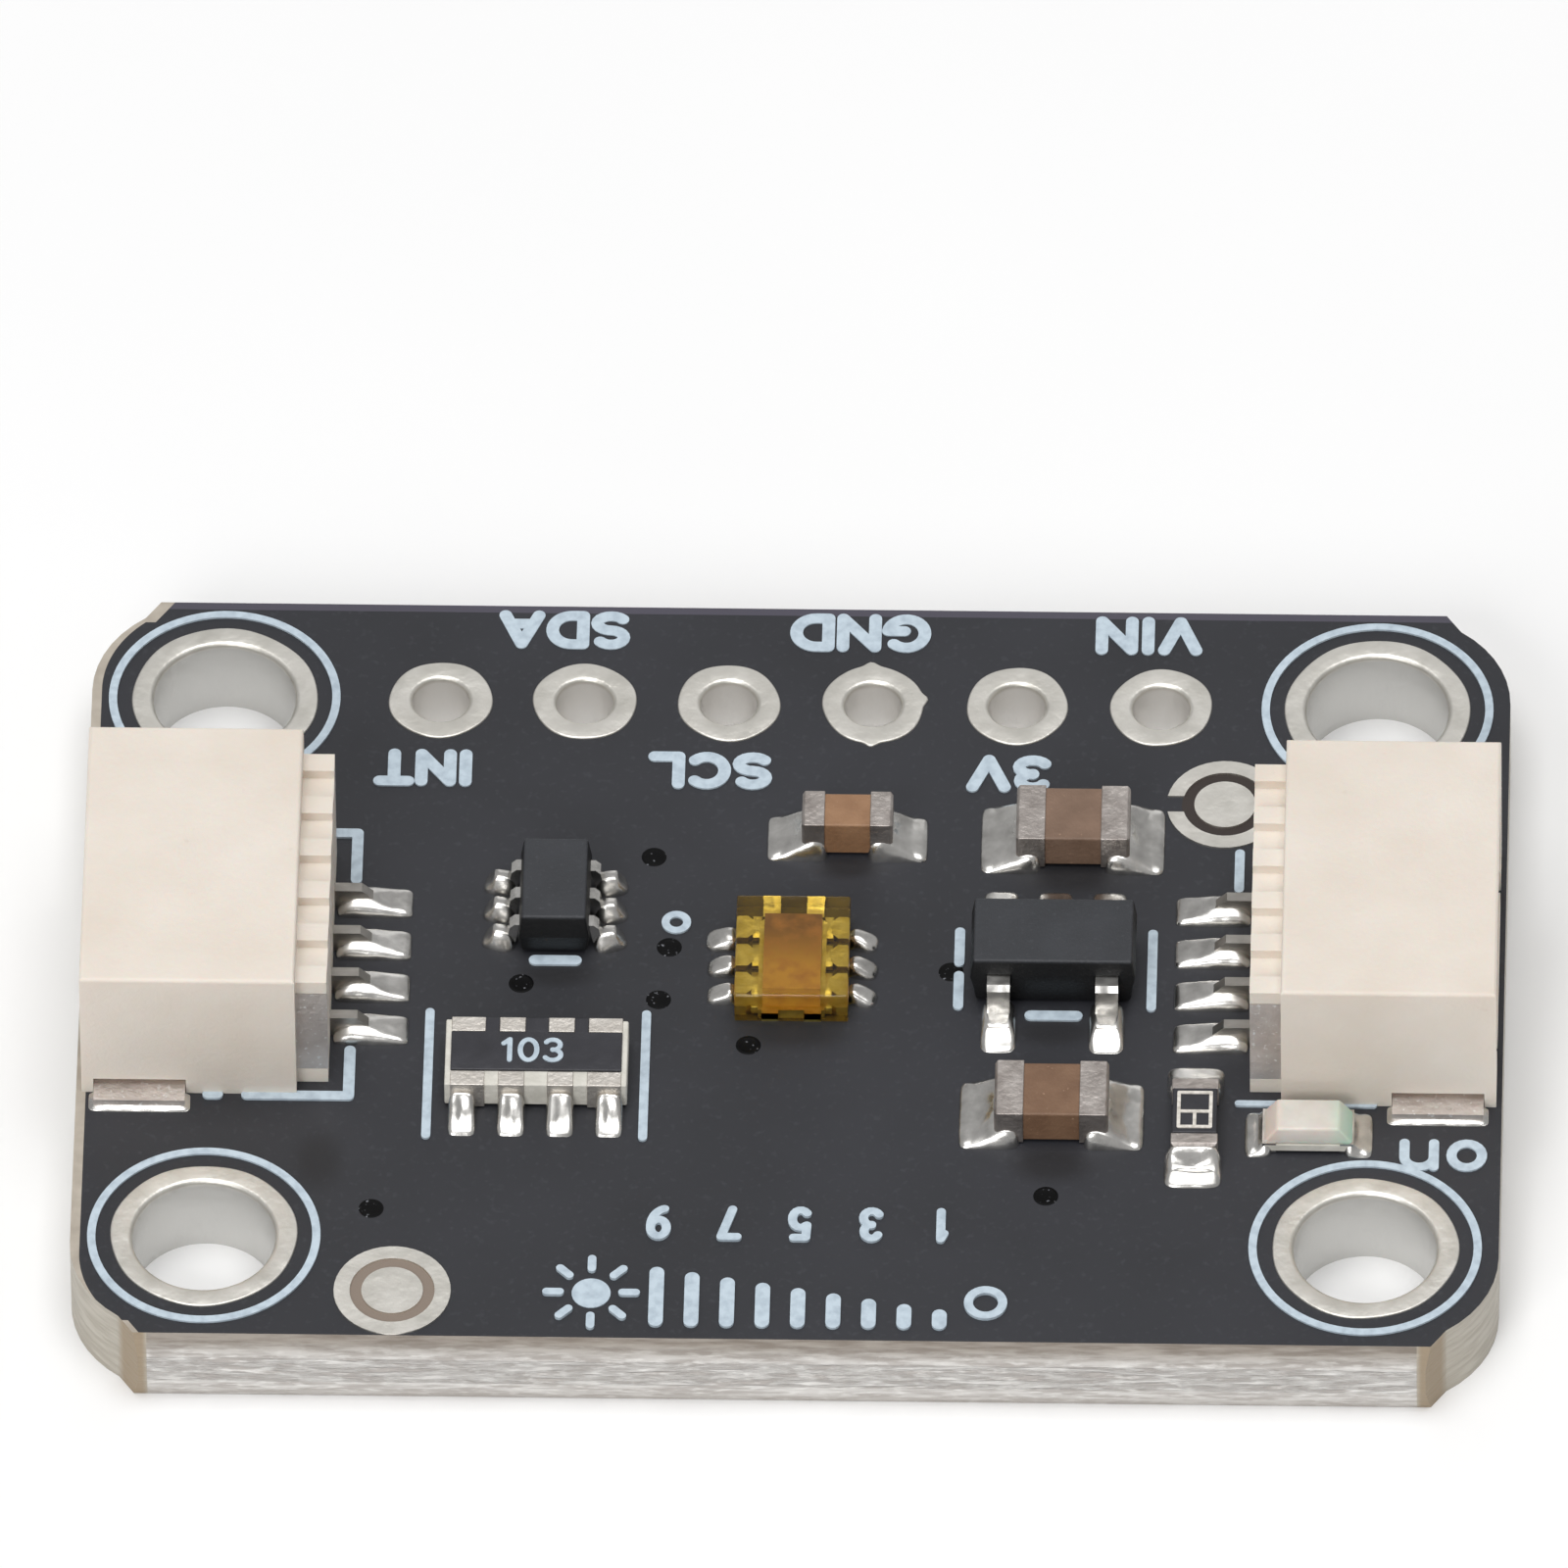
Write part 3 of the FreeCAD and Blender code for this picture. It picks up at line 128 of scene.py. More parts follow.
def board_finish():
    """Mask on the two faces, and bare laminate on the sides, beside the shifted mask along the left
    edge and in the fiducials' windows. A point lies outside a rounded rectangle where the length of
    what it lies beyond the rectangle of the corner centres is more than the corner radius."""
    finish, tree, shader, point = new_finish("matte_solder_mask_on_glass_laminate", 0.55)

    def math_of(operation, *values):
        links = dict(enumerate(values))
        return add(tree, "ShaderNodeMath", {"operation": operation}, links).outputs[0]

    def vector_of(operation, *values):
        links = dict(enumerate(values))
        return add(tree, "ShaderNodeVectorMath", {"operation": operation}, links).outputs

    def distance_to(centre, stretch=FLAT):
        beside = vector_of("SUBTRACT", point, (centre[0], centre[1], 0.0))[0]
        return vector_of("LENGTH", vector_of("MULTIPLY", beside, stretch)[0])["Value"]

    def fall(value, near, far):
        """1 up to near and 0 beyond far, with a smooth step between."""
        return add(
            tree,
            "ShaderNodeMapRange",
            {"interpolation_type": "SMOOTHSTEP"},
            {0: value, 1: near, 2: far, 3: 1.0, 4: 0.0},
        ).outputs[0]

    parts = add(tree, "ShaderNodeSeparateXYZ", {}, {0: point}).outputs
    x, y, z = parts[0], parts[1], parts[2]
    upper = math_of("GREATER_THAN", z, BOARD_TOP - FACE_SKIN)
    lower = math_of("LESS_THAN", z, FACE_SKIN)

    drift = clouds(tree, point, 3.5, 0.35, 0.7)
    mask = blend(tree, drift, "#26272c", "#2d2e34")
    dust = clouds(tree, point, 0.12, 0.60, 0.80, detail=1.0)
    mask = blend(tree, math_of("MULTIPLY", dust, 0.3), mask, "#45474d")
    # Painted shadows: darker patches on the mask in front of the parts, where the parts shade it.
    # Middle and half widths in millimetres.
    for centre, wide, deep in (
        ((4.87, 2.33), 1.0, 0.45),
        ((4.62, -4.45), 0.8, 0.50),
        ((0.90, 2.50), 0.7, 0.32),
        ((-8.2, -4.55), 0.5, 0.80),
        ((-0.05, -1.45), 1.1, 0.40),
        ((4.60, -1.30), 0.9, 0.45),
        ((-4.15, -0.10), 0.8, 0.35),
    ):
        near = fall(distance_to(centre, (1.0 / wide, 1.0 / deep, 0.0)), 0.3, 1.2)
        # Each patch blends the mask towards near black as a painted shadow.
        mask = blend(tree, math_of("MULTIPLY", near, 0.75), mask, "#161518")
    # The pad under the clear chip is gilt, and shows between the leads of its frame.
    chip_middle, half_wide, wide_to_long = (0.0, 0.05, 0.0), 0.99, 0.83
    under_chip = vector_of("ABSOLUTE", vector_of("SUBTRACT", point, chip_middle)[0])[0]
    under_chip = add(tree, "ShaderNodeSeparateXYZ", {}, {0: under_chip}).outputs
    stretched = math_of("MULTIPLY", under_chip[1], wide_to_long)
    gilt_pad = math_of("LESS_THAN", math_of("MAXIMUM", under_chip[0], stretched), half_wide)
    gilt_pad = math_of("MULTIPLY", gilt_pad, upper)
    mask = blend(tree, gilt_pad, mask, "#75652e")
    # The mask ends in a paler line along the far edge.
    far_line = math_of("GREATER_THAN", y, 8.46)
    mask = blend(tree, math_of("MULTIPLY", far_line, 0.7), mask, "#565260")

    # The mask's outline lies 0.17 mm to the right of the board's own, and 0.10 mm nearer. Its
    # corners are round up to 8.24 mm from the middle line, and slope beyond.
    mask_shift, corner_centre, corner_radius = (0.17, -0.10, 0.0), (10.4, 6.65, 0.0), 2.1
    slope_start, slope_rate, slope_reach = 8.24, 0.69, 11.60
    from_middle = vector_of("ABSOLUTE", vector_of("SUBTRACT", point, mask_shift)[0])[0]
    beyond = vector_of("SUBTRACT", from_middle, corner_centre)[0]
    beyond = vector_of("MAXIMUM", beyond, (0.0, 0.0, 0.0))[0]
    beyond = vector_of("MULTIPLY", beyond, FLAT)[0]
    outside = math_of("GREATER_THAN", vector_of("LENGTH", beyond)["Value"], corner_radius)
    past = add(tree, "ShaderNodeSeparateXYZ", {}, {0: from_middle}).outputs
    fallen = math_of("MULTIPLY", math_of("SUBTRACT", past[1], slope_start), slope_rate)
    beside_slope = math_of("GREATER_THAN", math_of("ADD", past[0], fallen), slope_reach)
    at_slope = math_of("GREATER_THAN", past[1], slope_start)
    outside = add(tree, "ShaderNodeMix", {}, {0: at_slope, 2: outside, 3: beside_slope}).outputs[0]
    window = 0.76
    left_window = math_of("LESS_THAN", distance_to((-6.83, -7.595)), window)
    right_window = math_of("LESS_THAN", distance_to((7.515, 4.06)), window)
    bare = math_of("MAXIMUM", outside, math_of("MAXIMUM", left_window, right_window))
    bare_cloud = clouds(tree, point, 0.4, 0.3, 0.7)
    bare_colour = blend(tree, bare_cloud, "#a99f92", "#bfb6a9")
    bare_colour = blend(tree, left_window, bare_colour, "#8a7c70")
    bare_colour = blend(tree, right_window, bare_colour, "#332a26")
    top = blend(tree, bare, mask, bare_colour)

    # Lands on the underside, flush with the mask: four round the screw holes, six round the pins.
    corner = vector_of("SUBTRACT", vector_of("ABSOLUTE", point)[0], (SCREW_X, SCREW_Y, 0.0))[0]
    corner = vector_of("LENGTH", vector_of("MULTIPLY", corner, FLAT)[0])["Value"]
    screw_land = math_of("LESS_THAN", corner, SCREW_LAND)
    across = math_of("PINGPONG", math_of("ADD", x, PIN_PITCH / 2.0), PIN_PITCH / 2.0)
    along = math_of("SUBTRACT", y, PIN_Y)
    pin = add(tree, "ShaderNodeCombineXYZ", {}, {0: across, 1: along}).outputs[0]
    pin_land = math_of("LESS_THAN", vector_of("LENGTH", pin)["Value"], PIN_LAND)
    in_row = math_of("LESS_THAN", math_of("ABSOLUTE", x), PIN_PITCH * PIN_COUNT / 2.0)
    pin_land = math_of("MULTIPLY", pin_land, in_row)
    lands = math_of("MAXIMUM", screw_land, pin_land)
    under = blend(tree, lands, mask, "#c9c5ba")

    # Sides: layers of glass cloth lie 0.2 mm apart, and their cut strands run along the edge. The
    # snapped edge's upper flank is painted browner towards the mask as shade, and the router's
    # slope beside it is painted with shade too.
    strands = clouds(tree, point, 0.9, 0.40, 0.62, (1.0, 1.0, 9.0), 6.0)
    fibre = clouds(tree, point, 0.16, 0.50, 0.70, (0.5, 0.5, 2.0), 4.0)
    torn = blend(tree, strands, "#b9b3ae", "#dddad6")
    torn = blend(tree, math_of("MULTIPLY", fibre, 0.8), torn, "#f4f2ee")
    from_half = math_of("ABSOLUTE", math_of("SUBTRACT", z, BOARD_TOP / 2.0))
    flank = math_of("GREATER_THAN", from_half, 0.30)
    scored = math_of("LESS_THAN", math_of("ABSOLUTE", x), 11.1)
    flank = math_of("MULTIPLY", flank, scored)
    # Painted shade: a darker brown for the upper flank of the snapped edge.
    painted_flank_shade = blend(tree, strands, "#7f7468", "#9b9186")
    torn = blend(tree, math_of("MULTIPLY", fall(z, 1.52, 1.02), 0.9), torn, painted_flank_shade)
    torn = blend(tree, math_of("MULTIPLY", fall(z, 0.02, 0.35), 0.5), torn, "#b0a9a2")
    routed = blend(tree, strands, "#b0a99c", "#c2bcb0")
    from_slope = math_of("ABSOLUTE", math_of("SUBTRACT", math_of("ABSOLUTE", x), 11.35))
    # Painted shade in a band where the router's corner arc starts.
    routed = blend(tree, fall(from_slope, 0.15, 0.3), routed, "#a08f78")
    side = blend(tree, scored, routed, torn)

    faces = blend(tree, upper, side, top)
    colour = blend(tree, lower, faces, under)
    tree.links.new(colour, shader.inputs["Base Color"])
    tinned = math_of("MAXIMUM", math_of("MULTIPLY", lands, lower), gilt_pad)
    tree.links.new(tinned, shader.inputs["Metallic"])
    flat_face = math_of("MAXIMUM", upper, lower)
    smooth = math_of("MAXIMUM", flank, math_of("SUBTRACT", 1.0, scored))
    smooth = math_of("MAXIMUM", flat_face, math_of("MULTIPLY", smooth, 0.8))
    rough_side = math_of("MULTIPLY", strands, math_of("SUBTRACT", 1.0, smooth))
    peel = math_of("MULTIPLY", clouds(tree, point, 0.25, 0.2, 0.8), 0.06)
    relief(tree, shader, math_of("ADD", rough_side, peel), 0.06)
    return finish


paint(["circuit_board"], board_finish())

# Linings of the holes
# Copper plated down each drilled hole and out over a round land on both faces, then dipped in
# solder and blown level, which rounds the lip and leaves the land's edge slightly uneven.
LAND_TOP = 1.635
ROUND = 96
SCREW_BORE, PIN_BORE = 1.25, 0.5


def grid_faces(rows, columns, wrap_rows=False, wrap_columns=False):
    """Corner numbers of the quads of a grid of points that is stored row after row."""
    row = np.arange(rows if wrap_rows else rows - 1)[:, None]
    column = np.arange(columns if wrap_columns else columns - 1)[None, :]
    after_row, after_column = (row + 1) % rows, (column + 1) % columns
    corners = (
        row * columns + column,
        row * columns + after_column,
        after_row * columns + after_column,
        after_row * columns + column,
    )
    return np.stack([np.broadcast_to(c, corners[0].shape) for c in corners], -1).reshape(-1, 4)


def piece(name, parts, finish, replaced=(), crisp=45.0):
    """One object out of closed shells, each given as points in millimetres and faces. Doubled
    points are merged, normals turned outwards, and edges sharper than crisp degrees kept hard."""
    points, faces, first = [], [], 0
    for shell_points, shell_faces in parts:
        points.append(np.asarray(shell_points, float).reshape(-1, 3))
        faces.extend([int(i) + first for i in face] for face in shell_faces)
        first += len(points[-1])
    mesh = bpy.data.meshes.new(name)
    mesh.from_pydata((np.concatenate(points) * MM).tolist(), [], faces)
    form = bmesh.new()
    form.from_mesh(mesh)
    bmesh.ops.remove_doubles(form, verts=form.verts, dist=2e-5 * MM)
    bmesh.ops.recalc_face_normals(form, faces=form.faces)
    form.to_mesh(mesh)
    form.free()
    mesh.shade_smooth()
    mesh.set_sharp_from_angle(angle=math.radians(crisp))
    mesh.materials.append(finish)
    made = bpy.data.objects.new(name, mesh)
    bpy.context.scene.collection.objects.link(made)
    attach(made, "root")
    if replaced:
        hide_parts(*replaced)


def turned(profile, centre, reach=None):
    """A closed profile of radius and height turned about a hole's axis. Reach gives, for each
    angle, how far the outermost points are pushed out, which makes the edge uneven."""
    angle = np.linspace(0.0, 2.0 * np.pi, ROUND, endpoint=False)[:, None]
    radius, height = np.array(profile, float).T
    radius = radius[None, :] * np.ones_like(angle)
    if reach is not None:
        edge_band = 0.12
        outer = radius > radius.max() - edge_band
        radius = radius + np.where(outer, reach(angle), 0.0)
    x, y = centre[0] + radius * np.cos(angle), centre[1] + radius * np.sin(angle)
    points = np.stack([x, y, height[None, :] * np.ones_like(angle)], -1)
    return points, grid_faces(ROUND, len(profile), True, True)


def lining(bore, land, wall=0.05, lip=0.09, rim=0.03):
    """Outline of one half of a lined hole: up the bore, over a rounded lip, out along the land to
    its rounded rim, and back down inside the board."""
    turn = np.linspace(0.0, np.pi / 2.0, 6)
    rise = [(bore, BOARD_TOP * share) for share in (0.25, 0.625)]
    over = [(bore + lip - lip * math.cos(a), LAND_TOP - lip + lip * math.sin(a)) for a in turn]
    edge = [(land - rim + rim * math.sin(a), LAND_TOP - rim + rim * math.cos(a)) for a in turn]
    back = [(land, BOARD_TOP), (bore + wall, BOARD_TOP), (bore + wall, 0.0), (bore, 0.0)]
    return rise + over + edge + back


def tin_finish(name, bore_light):
    """Solder levelled over copper: satin, silver with a warm cast, dimpled every 0.3 mm or so. Down
    the holes it is painted in the given tone, which stands for the light and shade inside the bore."""
    finish, tree, shader, point = new_finish(name, 0.45, 1.0)
    tone = blend(tree, clouds(tree, point, 0.5, 0.3, 0.7), "#dfdcd4", "#f2efe8")
    height = add(tree, "ShaderNodeSeparateXYZ", {}, {0: point}).outputs[2]
    down = add(tree, "ShaderNodeMapRange", {}, {0: height, 1: 1.58, 2: 1.50}).outputs[0]
    tone = blend(tree, down, tone, bore_light)
    tree.links.new(tone, shader.inputs["Base Color"])
    relief(tree, shader, clouds(tree, point, 0.3, 0.2, 0.8), 0.012)
    return finish


# The second colour is painted light and shade down the bores: near white in the pin holes, a little
# greyer in the screw holes.
tinned_copper = tin_finish("levelled_solder_in_pin_holes", "#fbf9f6")
tinned_barrel = tin_finish("levelled_solder_in_screw_holes", "#d6d5d2")
SCREW_HOLES = {
    "near_left": (-SCREW_X, -SCREW_Y),
    "near_right": (SCREW_X, -SCREW_Y),
    "far_left": (-SCREW_X, SCREW_Y),
    "far_right": (SCREW_X, SCREW_Y),
}
for number, (corner, centre) in enumerate(SCREW_HOLES.items()):
    wander = lambda a, n=number: 0.012 * np.sin(3.0 * a + n) + 0.008 * np.sin(7.0 * a + 2.0 * n)
    piece(
        corner + "_mounting_hole_lining",
        [turned(lining(SCREW_BORE, SCREW_LAND), centre, wander)],
        tinned_barrel,
        [corner + "_mounting_hole_plating"],
    )
PIN_HOLES = [(PIN_PITCH * (i - (PIN_COUNT - 1) / 2.0), PIN_Y) for i in range(PIN_COUNT)]
BURRED_LAND, BURR_ANGLES, BURR_WIDE, BURR_LONG = 4, (0.15, 1.62, 4.70), 0.12, 0.09
for number, centre in enumerate(PIN_HOLES, 1):

    def wander(a, n=number):
        """Slow waves, and on the fourth land three pointed burrs a few degrees wide."""
        waves = 0.014 * np.sin(2.0 * a + n) + 0.010 * np.sin(5.0 * a + 3.0 * n)
        burrs = sum(np.exp(-(((a - b) / BURR_WIDE) ** 2)) for b in BURR_ANGLES)
        return waves + (BURR_LONG * burrs if n == BURRED_LAND else 0.0)

    piece(
        "header_hole_lining_%d" % number,
        [turned(lining(PIN_BORE, PIN_LAND, lip=0.08), centre, wander)],
        tinned_copper,
        ["header_hole_plating_%d" % number],
    )

# Fiducials
# A copper dot inside an open copper ring, tinned with the lands, for the camera of the machine that
# places the parts. Bare laminate shows between the two.
paint(["near_left_fiducial", "far_right_fiducial"], tinned_copper)

# Vias
# Small drilled and plated holes that join the layers, covered by the mask, which dips into each of
# them and stands as a low rim around it.
def via_finish():
    """The mask again, painted nearly black as the shade in a pit that traps the light, with a few
    light flecks that are painted highlights.
    """
    finish, tree, shader, point = new_finish("mask_over_vias", 0.5)
    shader.inputs["Specular IOR Level"].default_value = 0.12
    tone = blend(tree, clouds(tree, point, 0.08, 0.66, 0.74, detail=1.0), "#070708", "#77797e")
    tree.links.new(tone, shader.inputs["Base Color"])
    return finish


VIAS = [(-2.50, 2.69), (-2.18, 0.56), (-2.34, -0.68), (-4.76, -0.33)]
VIAS += [(-0.74, -1.73), (-7.25, -5.66), (4.55, -5.20), (2.78, 0.05)]
VIA_PROFILE = [(0.001, 1.602), (0.12, 1.602), (0.16, 1.608), (0.18, 1.612), (0.20, 1.608)]
VIA_PROFILE += [(0.22, 1.602), (0.22, 1.600), (0.001, 1.600)]
piece(
    "tented_vias",
    [turned(VIA_PROFILE, centre) for centre in VIAS],
    via_finish(),
)

# Printed marks
# Bluish white epoxy ink, screened on to the mask about 0.02 mm thick: rings round the screw holes,
# outlines beside the parts, the pins' signals, and a light level scale along the near edge.
INK = 0.02
TAU = 2.0 * math.pi


def ribbon(spine, along, halves, level, closed):
    """A low rectangle carried along a spine: its edges lie half a width to each side, square to the
    spine. Level lifts its top by half a micrometre, so that no two ribbons lie in one plane."""
    along = along / np.linalg.norm(along, axis=1)[:, None]
    side = np.stack([-along[:, 1], along[:, 0]], -1) * halves[:, None]
    top = BOARD_TOP + INK + 0.0005 * level
    levels = (BOARD_TOP, top, top, BOARD_TOP)
    edges = (spine - side, spine - side, spine + side, spine + side)
    rows = [np.column_stack([edge, np.full(len(spine), high)]) for edge, high in zip(edges, levels)]
    points = np.stack(rows, 1)
    faces = [list(f) for f in grid_faces(len(spine), 4, closed, True)]
    if not closed:
        faces += [[0, 1, 2, 3], [4 * len(spine) - 4 + i for i in (3, 2, 1, 0)]]
    return points, faces


def stroke(path, width, level=0):
    """A printed line of constant width. A closed path gives a ring, and an open one gets round
    ends: beyond each end the half width follows a circle."""
    path = np.asarray(path, float)
    half = width / 2.0
    closed = np.allclose(path[0], path[-1])
    if closed:
        path = path[:-1]
        along = np.roll(path, -1, 0) - np.roll(path, 1, 0)
        return ribbon(path, along, np.full(len(path), half), level, True)
    turn = np.linspace(1.5, 0.0, 6)[:-1]
    ends = path[0] - path[1], path[-1] - path[-2]
    first, last = (end / np.linalg.norm(end) for end in ends)
    start = path[0] + first * half * np.sin(turn)[:, None]
    end = path[-1] + last * half * np.sin(turn[::-1])[:, None]
    spine = np.concatenate([start, path, end])
    taper = half * np.cos(turn)
    halves = np.concatenate([taper, np.full(len(path), half), taper[::-1]])
    return ribbon(spine, np.gradient(spine, axis=0), halves, level, False)


def arc(x, y, reach_x, reach_y, start, end, count=14):
    """Points along part of an ellipse, with the angles in degrees."""
    angle = np.radians(np.linspace(start, end, count))
    return np.stack([x + reach_x * np.cos(angle), y + reach_y * np.sin(angle)], -1)


def line(*points):
    """Points that are joined by straight lines."""
    return np.array(points, float)


# Each sign fills a cell 1 high, and is listed with its width and strokes.
SIGN_GAP = 0.3
SIGNS = {
    "0": (0.6, [arc(0.3, 0.5, 0.3, 0.5, 0, 360, 28)]),
    "1": (0.3, [line((0.22, 0.0), (0.22, 1.0)), line((0.22, 1.0), (0.0, 0.8))]),
    "3": (0.58, [arc(0.27, 0.75, 0.27, 0.25, 150, -90), arc(0.27, 0.26, 0.3, 0.26, 90, -150)]),
    "5": (
        0.58,
        [
            line((0.52, 1), (0.08, 1)),
            line((0.08, 1), (0.05, 0.55)),
            arc(0.28, 0.32, 0.3, 0.32, 130, -140),
        ],
    ),
    "7": (0.56, [line((0, 1), (0.56, 1)), line((0.56, 1), (0.18, 0))]),
    "9": (0.6, [arc(0.3, 0.7, 0.3, 0.3, 0, 360, 24), arc(-0.02, 0.66, 0.62, 0.66, 0, -80)]),
    "A": (
        0.72,
        [line((0, 0), (0.36, 1)), line((0.36, 1), (0.72, 0)), line((0.12, 0.3), (0.6, 0.3))],
    ),
    "C": (0.68, [arc(0.38, 0.5, 0.38, 0.5, 48, 312, 24)]),
    "D": (
        0.66,
        [
            line((0, 0), (0, 1)),
            np.vstack([[(0.0, 1.0)], arc(0.24, 0.5, 0.42, 0.5, 90, -90, 20), [(0.0, 0.0)]]),
        ],
    ),
    "G": (0.72, [arc(0.38, 0.5, 0.38, 0.5, 48, 350, 26), line((0.74, 0.42), (0.42, 0.42))]),
    "I": (0.12, [line((0.06, 0), (0.06, 1))]),
    "L": (0.52, [line((0, 1), (0, 0)), line((0, 0), (0.52, 0))]),
    "N": (0.66, [line((0, 0), (0, 1)), line((0, 1), (0.66, 0)), line((0.66, 0), (0.66, 1))]),
    "S": (0.6, [arc(0.3, 0.75, 0.28, 0.25, 35, 270), arc(0.3, 0.25, 0.3, 0.25, 90, -145)]),
    "T": (0.66, [line((0, 1), (0.66, 1)), line((0.33, 1), (0.33, 0))]),
    "V": (0.7, [line((0, 1), (0.35, 0)), line((0.35, 0), (0.7, 1))]),
    "o": (0.52, [arc(0.26, 0.32, 0.26, 0.32, 0, 360, 22)]),
    "n": (
        0.5,
        [
            line((0, 0), (0, 0.64)),
            np.vstack([arc(0.25, 0.38, 0.25, 0.26, 180, 0), [(0.5, 0.0)]]),
        ],
    ),
}


def words(text, box, width, turned_round=True, tall=1.0):
    """Strokes of a row of signs, stretched to fill a box (x low, x high, y low, y high) up to the
    ink's own width. Turned round, they read from the board's far side."""
    strokes, at = [], 0.0
    for sign in text:
        wide, lines = SIGNS[sign]
        strokes += [one + (at, 0.0) for one in lines]
        at += wide + SIGN_GAP
    low = np.array([box[0], box[2]]) + width / 2.0
    size = np.array([box[1], box[3]]) - width / 2.0 - low
    strokes = [s / (at - SIGN_GAP, tall) for s in strokes]
    if turned_round:
        strokes = [1.0 - s for s in strokes]
    return [low + s * size for s in strokes]


def ink_finish():
    """Screened epoxy ink: matte, a little uneven where the screen has let less through."""
    finish, tree, shader, point = new_finish("white_epoxy_ink", 0.6)
    tone = blend(tree, clouds(tree, point, 0.18, 0.3, 0.6), "#b0bfcb", "#c6d5e0")
    tree.links.new(tone, shader.inputs["Base Color"])
    relief(tree, shader, clouds(tree, point, 0.1, 0.2, 0.8), 0.004)
    return finish


LABEL, SMALL_LABEL, OUTLINE = 0.225, 0.18, 0.16
RING_REACH, RING_WIDTH = 1.97, 0.145
marks = []
for box, text in (
    ((-5.37, -3.03, 7.60, 8.50), "SDA"),
    ((-0.23, 2.26, 7.60, 8.50), "GND"),
    ((5.16, 7.05, 7.60, 8.50), "VIN"),
    ((-7.49, -5.71, 4.30, 5.17), "INT"),
    ((-2.66, -0.45, 4.30, 5.17), "SCL"),
    ((2.95, 4.45, 4.30, 5.17), "3V"),
):
    marks += [(s, LABEL) for s in words(text, box, LABEL)]
lamp_word = words("on", (10.72, 12.26, -4.53, -3.79), SMALL_LABEL, tall=0.64)
marks += [(s, SMALL_LABEL) for s in lamp_word]
for x, y in SCREW_HOLES.values():
    marks.append((arc(x, y, RING_REACH, RING_REACH, 0, 360, 91), RING_WIDTH))
marks.append((arc(-2.07, 1.13, 0.19, 0.19, 0, 360, 25), 0.14))
for path, width in (
    (line((2.92, 0.98), (2.92, 0.25)), 0.18),
    (line((2.92, -0.05), (2.92, -0.77)), 0.18),
    (line((6.31, 0.98), (6.31, -0.77)), 0.17),
    (line((4.20, -0.98), (5.00, -0.98)), 0.22),
    (line((-4.53, 0.20), (-3.82, 0.20)), 0.22),
    (line((-6.34, -1.05), (-6.34, -3.95)), OUTLINE),
    (line((-2.54, -1.05), (-2.54, -3.95)), OUTLINE),
    (line((-7.72, 3.13), (-7.72, 2.05)), 0.2),
    (line((-7.72, 3.15), (-8.10, 3.15)), 0.2),
    (line((-7.72, -1.98), (-7.72, -3.03)), 0.2),
    (line((-7.72, -3.05), (-9.50, -3.05)), 0.2),
    (line((-10.02, -3.05), (-10.18, -3.05)), 0.2),
    (line((7.80, 2.90), (7.80, 2.05)), 0.17),
    (line((7.88, -3.00), (10.25, -3.00)), 0.13),
):
    marks.append((path, width))

# The scale: a hollow ring at the dark end, a rayed disc at the bright end, nine bars of growing
# height between them, and plain numbers over them.
SCALE_X, SCALE_Y, BAR_STEP, BAR_WIDTH = 2.75, -8.25, 0.62, 0.26
for number in range(9):
    x = SCALE_X - BAR_STEP * number
    marks.append((line((x, SCALE_Y), (x, SCALE_Y + 0.20 + 0.115 * number)), BAR_WIDTH))
for number in range(1, 10, 2):
    x = SCALE_X - BAR_STEP * (number - 1)
    half = 0.22 if number > 1 else 0.12
    digit = words(str(number), (x - half, x + half, -6.35, -5.55), OUTLINE)
    marks += [(s, OUTLINE) for s in digit]
marks.append((arc(3.55, -7.75, 0.30, 0.30, 0, 360, 31), OUTLINE))
DISC, DISC_REACH, RAYS = (-3.35, -7.60), 0.34, 8
for ray in range(RAYS):
    spread = np.array([math.cos(ray * TAU / RAYS), math.sin(ray * TAU / RAYS)])
    marks.append((line(*(np.array(DISC) + spread * r for r in (0.55, 0.78))), 0.15))
piece(
    "printed_marks",
    [stroke(path, width, level) for level, (path, width) in enumerate(marks)]
    + [turned([(0.001, 1.60), (DISC_REACH, 1.60), (DISC_REACH, 1.62), (0.001, 1.62)], DISC)],
    ink_finish(),
)

# Wire sockets
# Two four way side entry sockets, moulded in ivory nylon and open towards the short ends. Each
# holds four stamped contacts, pressed in from the back, and two plates soldered down beside it.
EDGE_TURN = math.radians(30.0)


def dressed(node, name, edge, finish, steps=2):
    """A merged copy of a CAD node with its flat faces joined, and rounded along every edge that
    turns more than 30 degrees. It stands for the node."""
    mesh = nodes[node].data.copy()
    mesh.name = name
    form = bmesh.new()
    form.from_mesh(mesh)
    bmesh.ops.remove_doubles(form, verts=form.verts, dist=2e-4 * MM)
    bmesh.ops.dissolve_limit(
        form, angle_limit=math.radians(1.0), verts=form.verts, edges=form.edges
    )
    form.to_mesh(mesh)
    form.free()
    mesh.shade_smooth()
    mesh.set_sharp_from_angle(angle=EDGE_TURN)
    mesh.materials.clear()
    mesh.materials.append(finish)
    made = bpy.data.objects.new(name, mesh)
    bpy.context.scene.collection.objects.link(made)
    bevel = made.modifiers.new("rounding", "BEVEL")
    bevel.width = edge * MM
    bevel.segments = steps
    bevel.limit_method = "ANGLE"
    bevel.angle_limit = EDGE_TURN
    bevel.harden_normals = True
    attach(made, "root")
    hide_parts(node)


